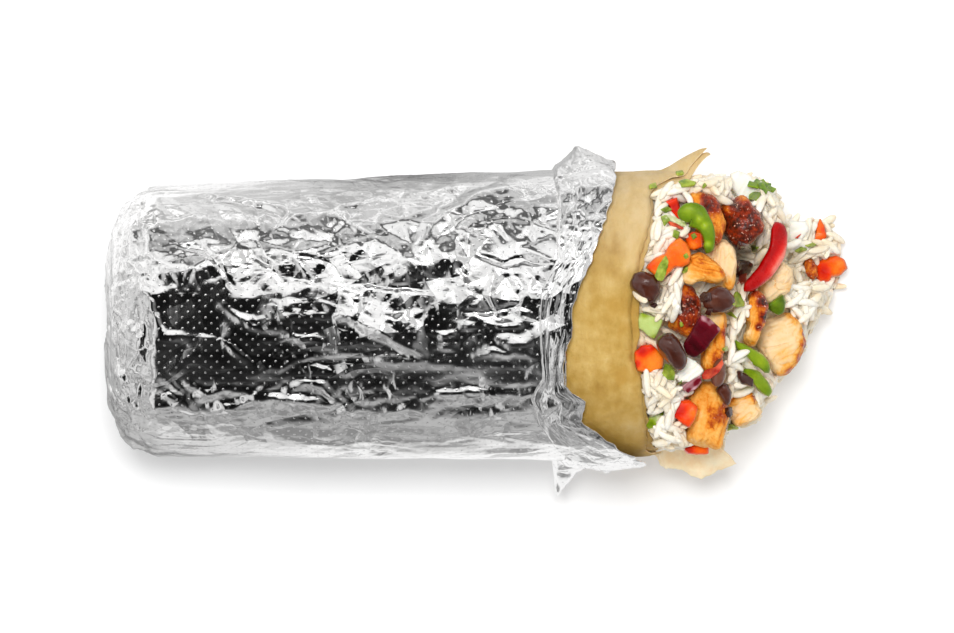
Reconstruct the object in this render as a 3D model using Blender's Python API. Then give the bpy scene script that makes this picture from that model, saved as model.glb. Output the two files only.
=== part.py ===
"""Chicken burrito in a crumpled foil wrapper, opened at one end so that its filling spills out.

Metres, +Z up. The burrito lies on its side along X: its folded end is at -X, its open mouth at +X, and its
underside is pressed flat where it rests. Angles go round its girth in degrees: 0 is the +Y side, 90 the top,
180 the -Y side and 270 the underside.
"""

import math

import bmesh
import bpy
import numpy as np
from mathutils import Matrix, Vector
from mathutils.bvhtree import BVHTree

MM = 0.001

# The rolled burrito, measured outside its wrapper
FOLDED_END_X = -99.5 * MM
MOUTH_X = 45.0 * MM
END_ROUNDING = 14.0 * MM
END_BULGE = 0.7 * MM
HALF_WIDTH_AT_END = 36.4 * MM
HALF_WIDTH_AT_MOUTH = 40.0 * MM
HEIGHT_AT_END = 70.0 * MM
HEIGHT_AT_MOUTH = 75.0 * MM
SHIFT_AT_MOUTH = 2.0 * MM
SQUARENESS = 2.35
PRESSED_FLAT = 1.5 * MM
GIRTH_WAVES = 0.4 * MM
GIRTH_SIDES = 32

# Walls, each inside the last with a little air between
FOIL_WALL = 0.9 * MM
TORTILLA_WALL = 2.6 * MM
AIR = 0.45 * MM
TORTILLA_INSET = FOIL_WALL + AIR
RICE_INSET = TORTILLA_INSET + TORTILLA_WALL + AIR
PIECE_GAP = 0.4 * MM

# Where the foil is torn off and where the tortilla ends: (angle, x in millimetres)
FOIL_RIM = (
    (0, 37), (25, 37), (45, 36), (60, 33), (75, 29.5), (90, 25.5), (105, 23), (113, 23), (121, 29),
    (131, 28), (142, 34), (156, 42), (168, 45), (180, 44), (196, 38), (225, 34), (270, 34), (315, 35),
)
TORTILLA_RIM = (
    (0, 60), (6, 61), (15, 56), (25, 50), (36, 46), (50, 46), (60, 45), (72, 43), (90, 41), (105, 41),
    (113, 43.5), (135, 44.6), (165, 45), (180, 48), (190, 54), (200, 70), (208, 72), (222, 66), (245, 62),
    (270, 61), (300, 59), (330, 57),
)
# The folded-back collar of the foil stands this far out of the wrapper, from its start to its torn rim
COLLAR_LENGTH = 16.0 * MM
COLLAR_RISE = 1.3 * MM
# Pulled-out tags of a wall: (angle, x, spread in degrees, spread in x, outward reach, fullness), in mm. A tag of
# fullness 1 is a cone, and a fuller one is rounder.
FOIL_POINTS = (
    (12, 26, 16, 5, 3.0, 1.0),
    (34, 29, 12, 4, 0.8, 1.0),
    (204, 22.5, 16, 9, 15.5, 1.0),
    (196, 34, 14, 8, 3.0, 1.0),
)
TORTILLA_POINTS = (
    (4, 62, 22, 16, 6.6, 1.0),
    (205, 62.5, 27, 16, 10.4, 1.7),
)

# The heap of filling past the mouth: (x, -Y side, +Y side, underside, top), in mm
HEAP = (
    (41, -33.2, 37.2, 4.6, 70.0),
    (47, -33.2, 37.2, 4.6, 72.6),
    (54, -33.2, 37.2, 4.6, 71.4),
    (60, -33.0, 37.2, 4.6, 68.6),
    (66, -31.5, 38.4, 4.6, 64.6),
    (71, -28.5, 38.6, 0.0, 59.0),
    (76, -23.5, 37.0, 0.0, 52.0),
    (80, -18.0, 34.0, 0.0, 43.5),
    (84, -12.5, 30.0, 0.0, 33.0),
    (88, -7.5, 28.0, 0.0, 21.0),
    (91, -3.0, 28.0, 0.0, 11.0),
    (95, 3.0, 26.5, 0.0, 7.0),
    (98, 8.0, 22.0, 0.0, 5.0),
)
HEAP_TIP = (99.3, 15.0, 1.6)
HEAP_WAVES = 0.9 * MM
# A heap is widest at this part of its height: inside the tortilla, and where it has slumped on the table
WAIST_INSIDE = 0.5
WAIST_OUTSIDE = 0.34
SLUMP_START = 60.0 * MM
SLUMP_LENGTH = 20.0 * MM
# The rice keeps to the tortilla's wall until this far past the wall's lip
LIP_MARGIN = 6.0 * MM

COLOURS = {
    "foil": ((0.86, 0.87, 0.88), 0.22, 1.0),
    "tortilla": ((0.87, 0.74, 0.48), 0.7, 0.0),
    "rice": ((0.93, 0.92, 0.87), 0.55, 0.0),
    "chicken": ((0.78, 0.47, 0.20), 0.45, 0.0),
    "glazed_chicken": ((0.36, 0.12, 0.04), 0.3, 0.0),
    "black_bean": ((0.09, 0.05, 0.05), 0.25, 0.0),
    "tomato": ((0.85, 0.10, 0.03), 0.25, 0.0),
    "red_pepper": ((0.75, 0.02, 0.02), 0.2, 0.0),
    "green_pepper": ((0.23, 0.50, 0.07), 0.25, 0.0),
    "red_onion": ((0.45, 0.05, 0.14), 0.25, 0.0),
    "white_onion": ((0.93, 0.92, 0.82), 0.3, 0.0),
    "scallion": ((0.62, 0.80, 0.32), 0.3, 0.0),
}


def mix(low, high, share):
    return low + (high - low) * share


def limited(value):
    return min(max(value, 0.0), 1.0)


def signed_power(value, power):
    return math.copysign(abs(value) ** power, value)


def rim_x(rim, angle):
    """The x at which a wall ends, at one angle round its girth."""
    angles = [point[0] for point in rim]
    reaches = [point[1] for point in rim]
    return float(np.interp(angle % 360, angles, reaches, period=360)) * MM


def pulled_out(points, x, angle):
    """How far the pointed tags of a wall stand out of it at x and angle."""
    reach = 0.0
    for tag_angle, tag_x, angle_spread, x_spread, height, fullness in points:
        turn = ((angle - tag_angle + 180) % 360 - 180) / angle_spread
        step = (x - tag_x * MM) / (x_spread * MM)
        share = max(0.0, 1.0 - math.hypot(turn, step))
        reach = max(reach, height * MM * share ** (1 / fullness))
    return reach


def body_point(x, angle, inset):
    """A point of the rolled body at x and angle, inset from its outside. A negative inset stands out of it."""
    along = limited((x - FOLDED_END_X) / (MOUTH_X - FOLDED_END_X))
    waves = GIRTH_WAVES * (math.sin(math.radians(3 * angle) + 25 * x) + math.sin(math.radians(5 * angle) - 35 * x))
    waves *= limited(1 - inset / END_ROUNDING)
    half_y = mix(HALF_WIDTH_AT_END, HALF_WIDTH_AT_MOUTH, along) - inset + waves
    top = mix(HEIGHT_AT_END, HEIGHT_AT_MOUTH, along)
    half_z = (top + PRESSED_FLAT) / 2 - inset + waves
    turn = math.radians(angle)
    y = SHIFT_AT_MOUTH * along + half_y * signed_power(math.cos(turn), 2 / SQUARENESS)
    z = (top - PRESSED_FLAT) / 2 + half_z * signed_power(math.sin(turn), 2 / SQUARENESS)
    return Vector((x, y, max(z, min(inset, END_ROUNDING), 0.0)))


def girth_angles():
    return [360 * side / GIRTH_SIDES for side in range(GIRTH_SIDES)]


def folded_end_rings(inset):
    """The rings of the folded end: a flat face that rounds over into the sides, at one inset."""
    rings = []
    for share in (0.35, 0.7):
        depth = mix(HALF_WIDTH_AT_END, END_ROUNDING, share)
        bulge = END_BULGE * (1 - share * share)
        rings.append([body_point(FOLDED_END_X + inset - bulge, angle, depth) for angle in girth_angles()])
    corner_x = FOLDED_END_X + END_ROUNDING
    radius = END_ROUNDING - inset
    for turn in (0, 28, 58):
        x = corner_x - radius * math.cos(math.radians(turn))
        depth = END_ROUNDING - radius * math.sin(math.radians(turn))
        rings.append([body_point(x, angle, depth) for angle in girth_angles()])
    return rings


def folded_end_pole(inset):
    return Vector((FOLDED_END_X + inset - END_BULGE, 0, HEIGHT_AT_END / 2))


def new_object(name, mesh, colour_name):
    """Puts a mesh in the scene under its own name, with its material."""
    colour, roughness, metallic = COLOURS[colour_name]
    material = bpy.data.materials.get(colour_name) or bpy.data.materials.new(colour_name)
    material.use_nodes = True
    shader = material.node_tree.nodes["Principled BSDF"]
    shader.inputs["Base Color"].default_value = (*colour, 1.0)
    shader.inputs["Roughness"].default_value = roughness
    shader.inputs["Metallic"].default_value = metallic
    mesh.materials.clear()
    mesh.materials.append(material)
    made = bpy.data.objects.new(name, mesh)
    bpy.context.scene.collection.objects.link(made)
    return made


def mesh_from_rings(name, rings, first_pole, last_pole=None):
    """A closed skin over rings of points. It is closed by a fan at each pole, or rolled inside when both are given as
    poles of the same end."""
    points = [first_pole]
    for ring in rings:
        points.extend(ring)
    points.append(last_pole)
    sides = len(rings[0])
    faces = []
    for side in range(sides):
        step = (side + 1) % sides
        faces.append((0, 1 + step, 1 + side))
        for row in range(len(rings) - 1):
            low = 1 + row * sides
            high = low + sides
            faces.append((low + side, low + step, high + step, high + side))
        last = 1 + (len(rings) - 1) * sides
        faces.append((last + side, last + step, len(points) - 1))
    mesh = bpy.data.meshes.new(name)
    mesh.from_pydata([tuple(point) for point in points], [], faces)
    shape = bmesh.new()
    shape.from_mesh(mesh)
    bmesh.ops.triangulate(shape, faces=shape.faces)
    bmesh.ops.recalc_face_normals(shape, faces=shape.faces)
    shape.to_mesh(mesh)
    shape.free()
    for polygon in mesh.polygons:
        polygon.use_smooth = True
    mesh.set_sharp_from_angle(angle=math.radians(35))
    return mesh


def wall_rings(rim, shares, inset, pull):
    """Rings of one face of a wall, from the end's rounding to its rim."""
    start_x = FOLDED_END_X + END_ROUNDING
    rings = []
    for share in shares:
        ring = []
        for angle in girth_angles():
            x = mix(start_x, rim_x(rim, angle), share)
            ring.append(body_point(x, angle, inset - pull(x, angle, share)))
        rings.append(ring)
    return rings


def foil_wrap():
    """The foil: a thin shell shut at the folded end, with a crumpled collar folded back round its torn rim."""
    shares = (0.0, 0.3, 0.6, 0.84, 0.88, 0.92, 0.96, 1.0)

    def collar(x, angle, share):
        rise = limited((x - (rim_x(FOIL_RIM, angle) - COLLAR_LENGTH)) / (0.35 * COLLAR_LENGTH))
        crumple = 0.7 + 0.5 * math.sin(math.radians(9 * angle) + 900 * x)
        return rise * COLLAR_RISE * crumple * (0.2 if 235 < angle < 305 else 1.0)

    def outside(x, angle, share):
        return collar(x, angle, share) + pulled_out(FOIL_POINTS, x, angle)

    def inside(x, angle, share):
        return pulled_out(FOIL_POINTS, x, angle)

    rings = folded_end_rings(0.0) + wall_rings(FOIL_RIM, shares, 0.0, outside)
    inner = folded_end_rings(FOIL_WALL) + wall_rings(FOIL_RIM, shares, FOIL_WALL, inside)
    rings += inner[::-1]
    return mesh_from_rings("foil_wrap", rings, folded_end_pole(0.0), folded_end_pole(FOIL_WALL))


def tortilla():
    """The rolled tortilla: several turns of one thin bread that part in a wavy lip round the mouth."""
    shares = (0.0, 0.35, 0.7, 0.85, 0.91, 0.96, 1.0)

    def flare(x, angle, share):
        return pulled_out(TORTILLA_POINTS, x, angle)

    def thinned(x, angle, share):
        return flare(x, angle, share) - 0.35 * TORTILLA_WALL * limited((share - 0.91) / 0.09)

    inner_inset = TORTILLA_INSET + TORTILLA_WALL
    outer = folded_end_rings(TORTILLA_INSET) + wall_rings(TORTILLA_RIM, shares, TORTILLA_INSET, thinned)
    inner = folded_end_rings(inner_inset) + wall_rings(TORTILLA_RIM, shares, inner_inset, flare)
    rings = outer + inner[::-1]
    return mesh_from_rings("tortilla", rings, folded_end_pole(TORTILLA_INSET), folded_end_pole(inner_inset))


def heap_section(x):
    """The middle, half width, underside, waist and top of the heap at x."""
    stations = [row[0] * MM for row in HEAP]
    low_y, high_y, bottom, top = (
        float(np.interp(x, stations, [row[column] * MM for row in HEAP])) for column in (1, 2, 3, 4)
    )
    slumped = limited((x - SLUMP_START) / SLUMP_LENGTH)
    waist = bottom + (top - bottom) * mix(WAIST_INSIDE, WAIST_OUTSIDE, slumped)
    return (low_y + high_y) / 2, (high_y - low_y) / 2, bottom, waist, top


def heap_point(x, angle, waves):
    middle, half_width, bottom, waist, top = heap_section(x)
    turn = math.radians(angle)
    y = middle + (half_width + waves) * signed_power(math.cos(turn), 2 / SQUARENESS)
    tall = top + waves - waist if angle < 180 else waist - bottom + PRESSED_FLAT
    z = waist + tall * signed_power(math.sin(turn), 2 / SQUARENESS)
    return Vector((x, y, max(z, bottom)))


def heap_top(x, y):
    """The height of the heap's upper side over the table at one place."""
    middle, half_width, bottom, waist, top = heap_section(x)
    across = min(abs(y - middle) / half_width, 0.98)
    return waist + (top - waist) * (1 - across ** SQUARENESS) ** (1 / SQUARENESS)


def heap_normal(x, y):
    step = 1.5 * MM
    slope_x = (heap_top(x + step, y) - heap_top(x - step, y)) / (2 * step)
    slope_y = (heap_top(x, y + step) - heap_top(x, y - step)) / (2 * step)
    return Vector((-slope_x, -slope_y, 1)).normalized()


def rice_filling():
    """The rice that fills the tortilla from end to end and slumps out of its mouth to the table."""
    rings = folded_end_rings(RICE_INSET)
    for x in (FOLDED_END_X + END_ROUNDING, -40 * MM, 5 * MM, 30 * MM):
        rings.append([body_point(x, angle, RICE_INSET) for angle in girth_angles()])
    for row in HEAP:
        x = row[0] * MM
        ring = []
        for angle in girth_angles():
            if x < rim_x(TORTILLA_RIM, angle) + LIP_MARGIN:
                ring.append(body_point(x, angle, RICE_INSET))
                continue
            wave = math.sin(math.radians(7 * angle) + 350 * x) + math.sin(math.radians(4 * angle) - 560 * x)
            ring.append(heap_point(x, angle, HEAP_WAVES * 0.5 * wave))
        rings.append(ring)
    tip = Vector([value * MM for value in HEAP_TIP])
    return mesh_from_rings("rice_filling", rings, folded_end_pole(RICE_INSET), tip)


def finished(name, shape, sharp_angle):
    """Turns a bmesh into a mesh whose faces point outwards."""
    bmesh.ops.triangulate(shape, faces=shape.faces)
    bmesh.ops.recalc_face_normals(shape, faces=shape.faces)
    mesh = bpy.data.meshes.new(name)
    shape.to_mesh(mesh)
    shape.free()
    for polygon in mesh.polygons:
        polygon.use_smooth = True
    mesh.set_sharp_from_angle(angle=math.radians(sharp_angle))
    return mesh


def chunk(name, size, squareness, seed):
    """A torn or cut lump, such as chicken: between a ball and a block, with uneven sides."""
    wobble = np.random.default_rng(seed).uniform(-1, 1, 12)
    shape = bmesh.new()
    bmesh.ops.create_icosphere(shape, subdivisions=2, radius=1.0)
    for vertex in shape.verts:
        x, y, z = vertex.co
        norm = (abs(x) ** squareness + abs(y) ** squareness + abs(z) ** squareness) ** (1 / squareness)
        uneven = 0.09 * math.sin(3 * x + 3 * wobble[0]) + 0.09 * math.sin(3 * y + 2 * z + 3 * wobble[1])
        taper = 1 + 0.22 * wobble[2] * x / norm
        spread = Vector((x, y * taper, z * (1 + 0.2 * wobble[3] * y))) * (1 + uneven) / norm
        vertex.co = [spread[axis] * size[axis] * MM / 2 for axis in range(3)]
    return finished(name, shape, 50)


def bean(name, size, squareness, seed):
    """A cooked bean: a plump oval that bends a little towards its eye."""
    length, width, depth = (value * MM / 2 for value in size)
    shape = bmesh.new()
    bmesh.ops.create_icosphere(shape, subdivisions=2, radius=1.0)
    for vertex in shape.verts:
        x, y, z = vertex.co
        bend = 0.16 * (1 - x * x)
        vertex.co = (x * length, (y * (1 - 0.12 * x * x) + bend) * width, z * depth)
    return finished(name, shape, 60)


def dice(name, size, squareness, seed):
    """A knife-cut block with uneven corners and softened edges."""
    random = np.random.default_rng(seed)
    shape = bmesh.new()
    bmesh.ops.create_cube(shape, size=1.0)
    for vertex in shape.verts:
        shift = random.uniform(-0.09, 0.09, 3)
        vertex.co = [(vertex.co[axis] + shift[axis]) * size[axis] * MM for axis in range(3)]
    width = 0.12 * min(size) * MM
    bmesh.ops.bevel(shape, geom=shape.edges[:], offset=width, segments=1, profile=0.5, affect="EDGES")
    return finished(name, shape, 30)


def curved_slice(name, size, bend, narrowing):
    """A slice of a thin wall that bends by an angle along its length, round an axis along its own Y."""
    length, width, thick = (value * MM for value in size)
    steps = 7
    sweep = math.radians(bend)
    radius = length / sweep
    rings = []
    for step in range(steps + 1):
        share = step / steps
        turn = sweep * (share - 0.5)
        narrow = 1 - narrowing * abs(2 * share - 1) ** 3
        ring = []
        for across, up in ((-0.5, -0.32), (-0.4, 0.5), (0.4, 0.5), (0.5, -0.32), (0.0, -0.5)):
            reach = radius + up * thick
            ring.append(Vector((reach * math.sin(turn), across * width * narrow, reach * math.cos(turn) - radius)))
        rings.append(ring)
    first = sum(rings[0], Vector()) / len(rings[0])
    last = sum(rings[-1], Vector()) / len(rings[-1])
    return mesh_from_rings(name, rings, first, last)


def pepper(name, size, bend, seed):
    """A slice of pepper or scallion, which tapers to its ends."""
    return curved_slice(name, size, bend, 0.45)


def onion(name, size, bend, seed):
    """A square cut of one layer of an onion."""
    return curved_slice(name, size, bend, 0.06)


def strip(name, size, bend, seed):
    """A strip of pepper lying on its cut edge: straight at one end, and hooked by an angle towards the other."""
    length, width, deep = (value * MM for value in size)
    steps = 11
    at = Vector()
    rings = []
    for step in range(steps + 1):
        heading = math.radians(bend) * (step / steps) ** 2.2
        side = Vector((-math.sin(heading), math.cos(heading), 0))
        narrow = 1 - 0.35 * abs(2 * step / steps - 1) ** 4
        ring = []
        for across, up in ((-0.5, -0.4), (-0.42, 0.38), (0.0, 0.5), (0.42, 0.38), (0.5, -0.4)):
            ring.append(at + side * (across * width * narrow) + Vector((0, 0, up * deep)))
        rings.append(ring)
        at = at + Vector((math.cos(heading), math.sin(heading), 0)) * (length / steps)
    middle = sum((sum(ring, Vector()) / len(ring) for ring in rings), Vector()) / len(rings)
    rings = [[point - middle for point in ring] for ring in rings]
    first = sum(rings[0], Vector()) / len(rings[0])
    last = sum(rings[-1], Vector()) / len(rings[-1])
    return mesh_from_rings(name, rings, first, last)


# Pieces of the filling:
# (node, maker, material, (x, y), (length, width, depth) in mm, squareness or bend, spin in degrees, lean, sink in mm).
# Lean 1 lays a piece along the slope of the heap and 0 lays it level. Sink is how deep its middle starts.
PIECES = (
    ("chicken_1", chunk, "chicken", (62.5, 20.4), (7.7, 13.3, 8.6), 3.4, 4, 0.5, 2.2),
    ("chicken_2", chunk, "chicken", (60.4, 0.8), (8.6, 14.1, 8.6), 3.4, -14, 0.4, 1.6),
    ("chicken_3", chunk, "chicken", (61.9, -5.3), (5.8, 12.9, 7.2), 3.8, -12, 0.5, 2.0),
    ("chicken_4", chunk, "chicken", (75.0, 3.1), (7.0, 14.1, 8.4), 3.6, 8, 0.45, 1.6),
    ("chicken_5", chunk, "glazed_chicken", (70.6, 26.1), (10.2, 11.6, 9.3), 4.6, 18, 0.35, 1.2),
    ("chicken_6", chunk, "chicken", (62.3, 21.3), (9.0, 14.3, 9.0), 4.0, -12, 0.35, 1.6),
    ("chicken_7", chunk, "chicken", (80.0, 8.6), (10.3, 8.9, 8.4), 3.4, 20, 0.4, 1.0),
    ("chicken_8", chunk, "chicken", (81.9, -5.9), (12.5, 15.9, 9.7), 3.2, -10, 0.35, 0.6),
    ("chicken_9", chunk, "chicken", (71.6, -23.6), (7.5, 7.9, 7.8), 4.0, 20, 0.45, 1.2),
    ("chicken_10", chunk, "chicken", (61.6, -24.3), (10.1, 15.3, 9.3), 4.0, -8, 0.35, 1.6),
    ("chicken_11", chunk, "chicken", (59.6, 17.1), (10.1, 7.9, 7.3), 4.0, -16, 0.4, 0.8),
    ("chicken_12", chunk, "glazed_chicken", (91.5, 14.3), (4.5, 3.8, 3.9), 3.4, 30, 0.3, -0.4),
    ("black_bean_1", bean, "black_bean", (35.3, 10.8), (10.1, 6.7, 6.4), 0, -30, 0.4, -0.4),
    ("black_bean_2", bean, "black_bean", (61.7, 5.3), (11.1, 7.0, 6.7), 0, -12, 0.4, -0.2),
    ("black_bean_3", bean, "black_bean", (47.6, -6.0), (12.4, 8.0, 7.2), 0, -58, 0.4, 0.0),
    ("black_bean_4", bean, "black_bean", (63.4, -9.9), (7.8, 4.7, 5.5), 0, 74, 0.5, 0.8),
    ("black_bean_5", bean, "black_bean", (64.3, -19.0), (7.4, 5.2, 5.3), 0, -64, 0.5, 0.8),
    ("tomato_1", dice, "tomato", (52.2, 29.7), (3.3, 5.3, 5.0), 0, -14, 0.5, 0.6),
    ("tomato_2", dice, "tomato", (47.0, 14.2), (10.9, 6.9, 6.5), 0, 46, 0.3, 0.6),
    ("tomato_3", dice, "tomato", (59.4, 20.2), (4.0, 4.1, 4.7), 0, 30, 0.4, 0.2),
    ("tomato_4", dice, "tomato", (36.1, -9.8), (6.9, 6.9, 6.7), 0, 6, 0.3, 0.6),
    ("tomato_5", dice, "tomato", (55.0, -24.7), (5.6, 5.2, 6.0), 0, 24, 0.35, 0.4),
    ("tomato_6", dice, "tomato", (58.4, -34.4), (5.7, 3.6, 4.9), 0, 8, 0.4, 0.0),
    ("tomato_7", dice, "tomato", (96.0, 14.1), (8.0, 6.2, 6.4), 0, 6, 0.1, -1.6),
    ("tomato_8", dice, "tomato", (92.2, 24.2), (6.3, 2.9, 4.1), 0, 62, 0.3, -0.8),
    ("red_onion_1", onion, "red_onion", (59.6, -3.4), (8.8, 7.5, 2.8), 40, 46, 0.4, -1.8),
    ("red_onion_2", onion, "red_onion", (56.4, -15.3), (4.8, 2.8, 2.3), 50, 44, 0.4, -0.6),
    ("white_onion_1", onion, "white_onion", (56.3, -14.0), (6.5, 5.3, 2.4), 50, -22, 0.4, -0.2),
    ("white_onion_2", onion, "white_onion", (71.8, 36.8), (7.5, 6.5, 3.4), 30, 12, 0.4, -0.4),
    ("white_onion_3", dice, "white_onion", (87.1, 24.2), (4.9, 4.1, 4.3), 0, 12, 0.4, -0.8),
    ("green_pepper_1", pepper, "green_pepper", (59.0, 21.5), (13.4, 5.7, 2.8), 115, -62, 0.4, -3.0),
    ("green_pepper_2", pepper, "green_pepper", (46.9, -4.3), (6.6, 5.8, 2.5), 40, -40, 0.4, 0.0),
    ("green_pepper_3", pepper, "green_pepper", (73.8, -7.9), (11.9, 5.3, 2.7), 70, -48, 0.45, -1.6),
    ("green_pepper_4", pepper, "green_pepper", (74.8, -16.3), (10.9, 4.9, 2.8), 90, -42, 0.45, -1.6),
    ("green_pepper_5", pepper, "green_pepper", (80.1, 5.5), (5.1, 4.5, 2.5), 50, 40, 0.4, -0.6),
    ("red_pepper_strip", strip, "red_pepper", (77.4, 12.4), (27.0, 4.4, 4.0), 150, 28, 0.7, -2.8),
    ("scallion_ring", pepper, "scallion", (45.9, -28.1), (5.8, 4.3, 2.6), 90, 20, 0.5, -0.4),
)
FLATTEN_UNDER = math.radians(4)
SETTLE_PASSES = 160
SETTLE_STEP = 0.16 * MM
RISE_BIAS = 2.2


def grown(mesh, gap):
    """A copy of a mesh whose points stand out by a gap along their normals."""
    copy = mesh.copy()
    normals = [normal.vector.copy() for normal in mesh.vertex_normals]
    for vertex, normal in zip(copy.vertices, normals):
        vertex.co += normal * gap
    return copy


def tree_of(mesh, shift):
    points = [vertex.co + shift for vertex in mesh.vertices]
    return BVHTree.FromPolygons(points, [polygon.vertices for polygon in mesh.polygons])


def laid_piece(row, seed):
    """One piece of filling, laid on the heap at its place."""
    name, maker, colour_name, (x, y), size, form, spin, lean, sink = row
    mesh = maker(name, size, form, seed)
    x, y = x * MM, y * MM
    up = Vector((0, 0, 1)).lerp(heap_normal(x, y), lean).normalized()
    tilt = Vector((0, 0, 1)).rotation_difference(up).to_matrix().to_4x4()
    middle = Vector((x, y, heap_top(x, y) - sink * MM))
    mesh.transform(Matrix.Translation(middle) @ tilt @ Matrix.Rotation(math.radians(spin), 4, "Z"))
    lowest = min(vertex.co.z for vertex in mesh.vertices)
    mesh.transform(Matrix.Translation((0, 0, max(0.0, PIECE_GAP - lowest))))
    return mesh


def settle(meshes, wall):
    """Moves pieces that touch a little at a time, mostly up and down, until each lies free of all others."""
    skins = [grown(mesh, PIECE_GAP / 2) for mesh in meshes]
    middles = [sum((vertex.co for vertex in mesh.vertices), Vector()) / len(mesh.vertices) for mesh in meshes]
    reaches = [
        max((vertex.co - middle).length for vertex in skin.vertices) for skin, middle in zip(skins, middles)
    ]
    shifts = [Vector() for _ in meshes]
    wall_tree = tree_of(wall, Vector())
    trees = [tree_of(skin, Vector()) for skin in skins]
    for _ in range(SETTLE_PASSES):
        moves = [Vector() for _ in meshes]
        for first in range(len(meshes)):
            at_first = middles[first] + shifts[first]
            if trees[first].overlap(wall_tree):
                inwards = 1.0 if abs(at_first.y) > 0.6 * HALF_WIDTH_AT_MOUTH else 0.0
                moves[first] += Vector((1.0, -math.copysign(inwards, at_first.y), 0.4)) * SETTLE_STEP
            for second in range(first + 1, len(meshes)):
                apart = at_first - middles[second] - shifts[second]
                if apart.length < reaches[first] + reaches[second] and trees[first].overlap(trees[second]):
                    apart.z *= RISE_BIAS
                    moves[first] += apart.normalized() * SETTLE_STEP
                    moves[second] -= apart.normalized() * SETTLE_STEP
        for number, move in enumerate(moves):
            if move.length:
                shifts[number] += move
                trees[number] = tree_of(skins[number], shifts[number])
        if not any(move.length for move in moves):
            break
    for mesh, skin, shift in zip(meshes, skins, shifts):
        mesh.transform(Matrix.Translation(shift))
        bpy.data.meshes.remove(skin)


def largest_body(mesh):
    """Drops crumbs that were cut off the main body of a mesh."""
    shape = bmesh.new()
    shape.from_mesh(mesh)
    left = set(shape.verts)
    bodies = []
    while left:
        body = [left.pop()]
        for vertex in body:
            for edge in vertex.link_edges:
                other = edge.other_vert(vertex)
                if other in left:
                    left.remove(other)
                    body.append(other)
        bodies.append(body)
    bodies.sort(key=len, reverse=True)
    for body in bodies[1:]:
        bmesh.ops.delete(shape, geom=body, context="VERTS")
    heap = [vertex for vertex in shape.verts if vertex.co.x > MOUTH_X]
    heap_edges = [edge for edge in shape.edges if all(end.co.x > MOUTH_X for end in edge.verts)]
    bmesh.ops.dissolve_limit(shape, angle_limit=FLATTEN_UNDER, verts=heap, edges=heap_edges)
    bmesh.ops.triangulate(shape, faces=shape.faces)
    shape.to_mesh(mesh)
    shape.free()


def cut_pockets(rice, pieces):
    """Cuts a pocket into the rice for each piece that is sunk in it, a little larger than the piece."""
    pockets = bpy.data.collections.new("pockets")
    bpy.context.scene.collection.children.link(pockets)
    for piece in pieces:
        pocket = bpy.data.objects.new("pocket_for_" + piece.name, grown(piece.data, PIECE_GAP))
        pocket.hide_render = True
        pocket.display_type = "WIRE"
        pockets.objects.link(pocket)
    cut = rice.modifiers.new("pockets", "BOOLEAN")
    cut.operation = "DIFFERENCE"
    cut.operand_type = "COLLECTION"
    cut.collection = pockets
    evaluated = rice.evaluated_get(bpy.context.evaluated_depsgraph_get())
    mesh = bpy.data.meshes.new_from_object(evaluated)
    rice.modifiers.remove(cut)
    largest_body(mesh)
    rice.data = mesh


def build():
    for old in list(bpy.data.objects):
        bpy.data.objects.remove(old, do_unlink=True)
    wrap = new_object("foil_wrap", foil_wrap(), "foil")
    bread = new_object("tortilla", tortilla(), "tortilla")
    rice = new_object("rice_filling", rice_filling(), "rice")
    meshes = [laid_piece(row, seed) for seed, row in enumerate(PIECES)]
    settle(meshes, bread.data)
    pieces = [new_object(row[0], mesh, row[2]) for row, mesh in zip(PIECES, meshes)]
    cut_pockets(rice, pieces)
    parts = [wrap, bread, rice, *pieces]
    corners = np.array([tuple(vertex.co) for part in parts for vertex in part.data.vertices])
    low, high = corners.min(axis=0), corners.max(axis=0)
    burrito = bpy.data.objects.new("burrito", None)
    bpy.context.scene.collection.objects.link(burrito)
    burrito.location = (-(low[0] + high[0]) / 2, -(low[1] + high[1]) / 2, -low[2])
    for part in parts:
        part.parent = burrito


build()
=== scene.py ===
import math
import random

import bpy
import numpy as np
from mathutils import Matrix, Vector, geometry, noise
from mathutils.bvhtree import BVHTree


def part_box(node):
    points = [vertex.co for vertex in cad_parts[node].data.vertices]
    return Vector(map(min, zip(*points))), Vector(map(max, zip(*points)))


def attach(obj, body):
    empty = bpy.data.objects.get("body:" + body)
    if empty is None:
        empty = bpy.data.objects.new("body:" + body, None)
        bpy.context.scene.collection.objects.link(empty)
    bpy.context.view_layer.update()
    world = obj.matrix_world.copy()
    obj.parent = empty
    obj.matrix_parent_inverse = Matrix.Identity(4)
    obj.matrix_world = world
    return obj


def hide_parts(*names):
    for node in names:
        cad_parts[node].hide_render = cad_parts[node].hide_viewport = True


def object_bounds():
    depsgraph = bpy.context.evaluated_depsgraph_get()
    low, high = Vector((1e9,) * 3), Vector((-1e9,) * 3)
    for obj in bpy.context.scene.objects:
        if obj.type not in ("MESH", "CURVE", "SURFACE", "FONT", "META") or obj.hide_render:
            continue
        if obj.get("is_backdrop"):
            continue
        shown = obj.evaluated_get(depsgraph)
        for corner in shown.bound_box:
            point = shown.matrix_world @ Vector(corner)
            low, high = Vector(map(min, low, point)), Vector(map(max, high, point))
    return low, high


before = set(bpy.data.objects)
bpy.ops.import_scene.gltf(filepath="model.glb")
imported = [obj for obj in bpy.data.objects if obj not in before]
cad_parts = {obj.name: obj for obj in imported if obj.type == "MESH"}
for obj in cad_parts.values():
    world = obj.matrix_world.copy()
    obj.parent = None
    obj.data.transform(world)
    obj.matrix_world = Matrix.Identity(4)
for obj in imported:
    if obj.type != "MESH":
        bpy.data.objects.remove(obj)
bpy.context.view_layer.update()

MM = 0.001
bpy.ops.object.select_all(action="DESELECT")


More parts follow.
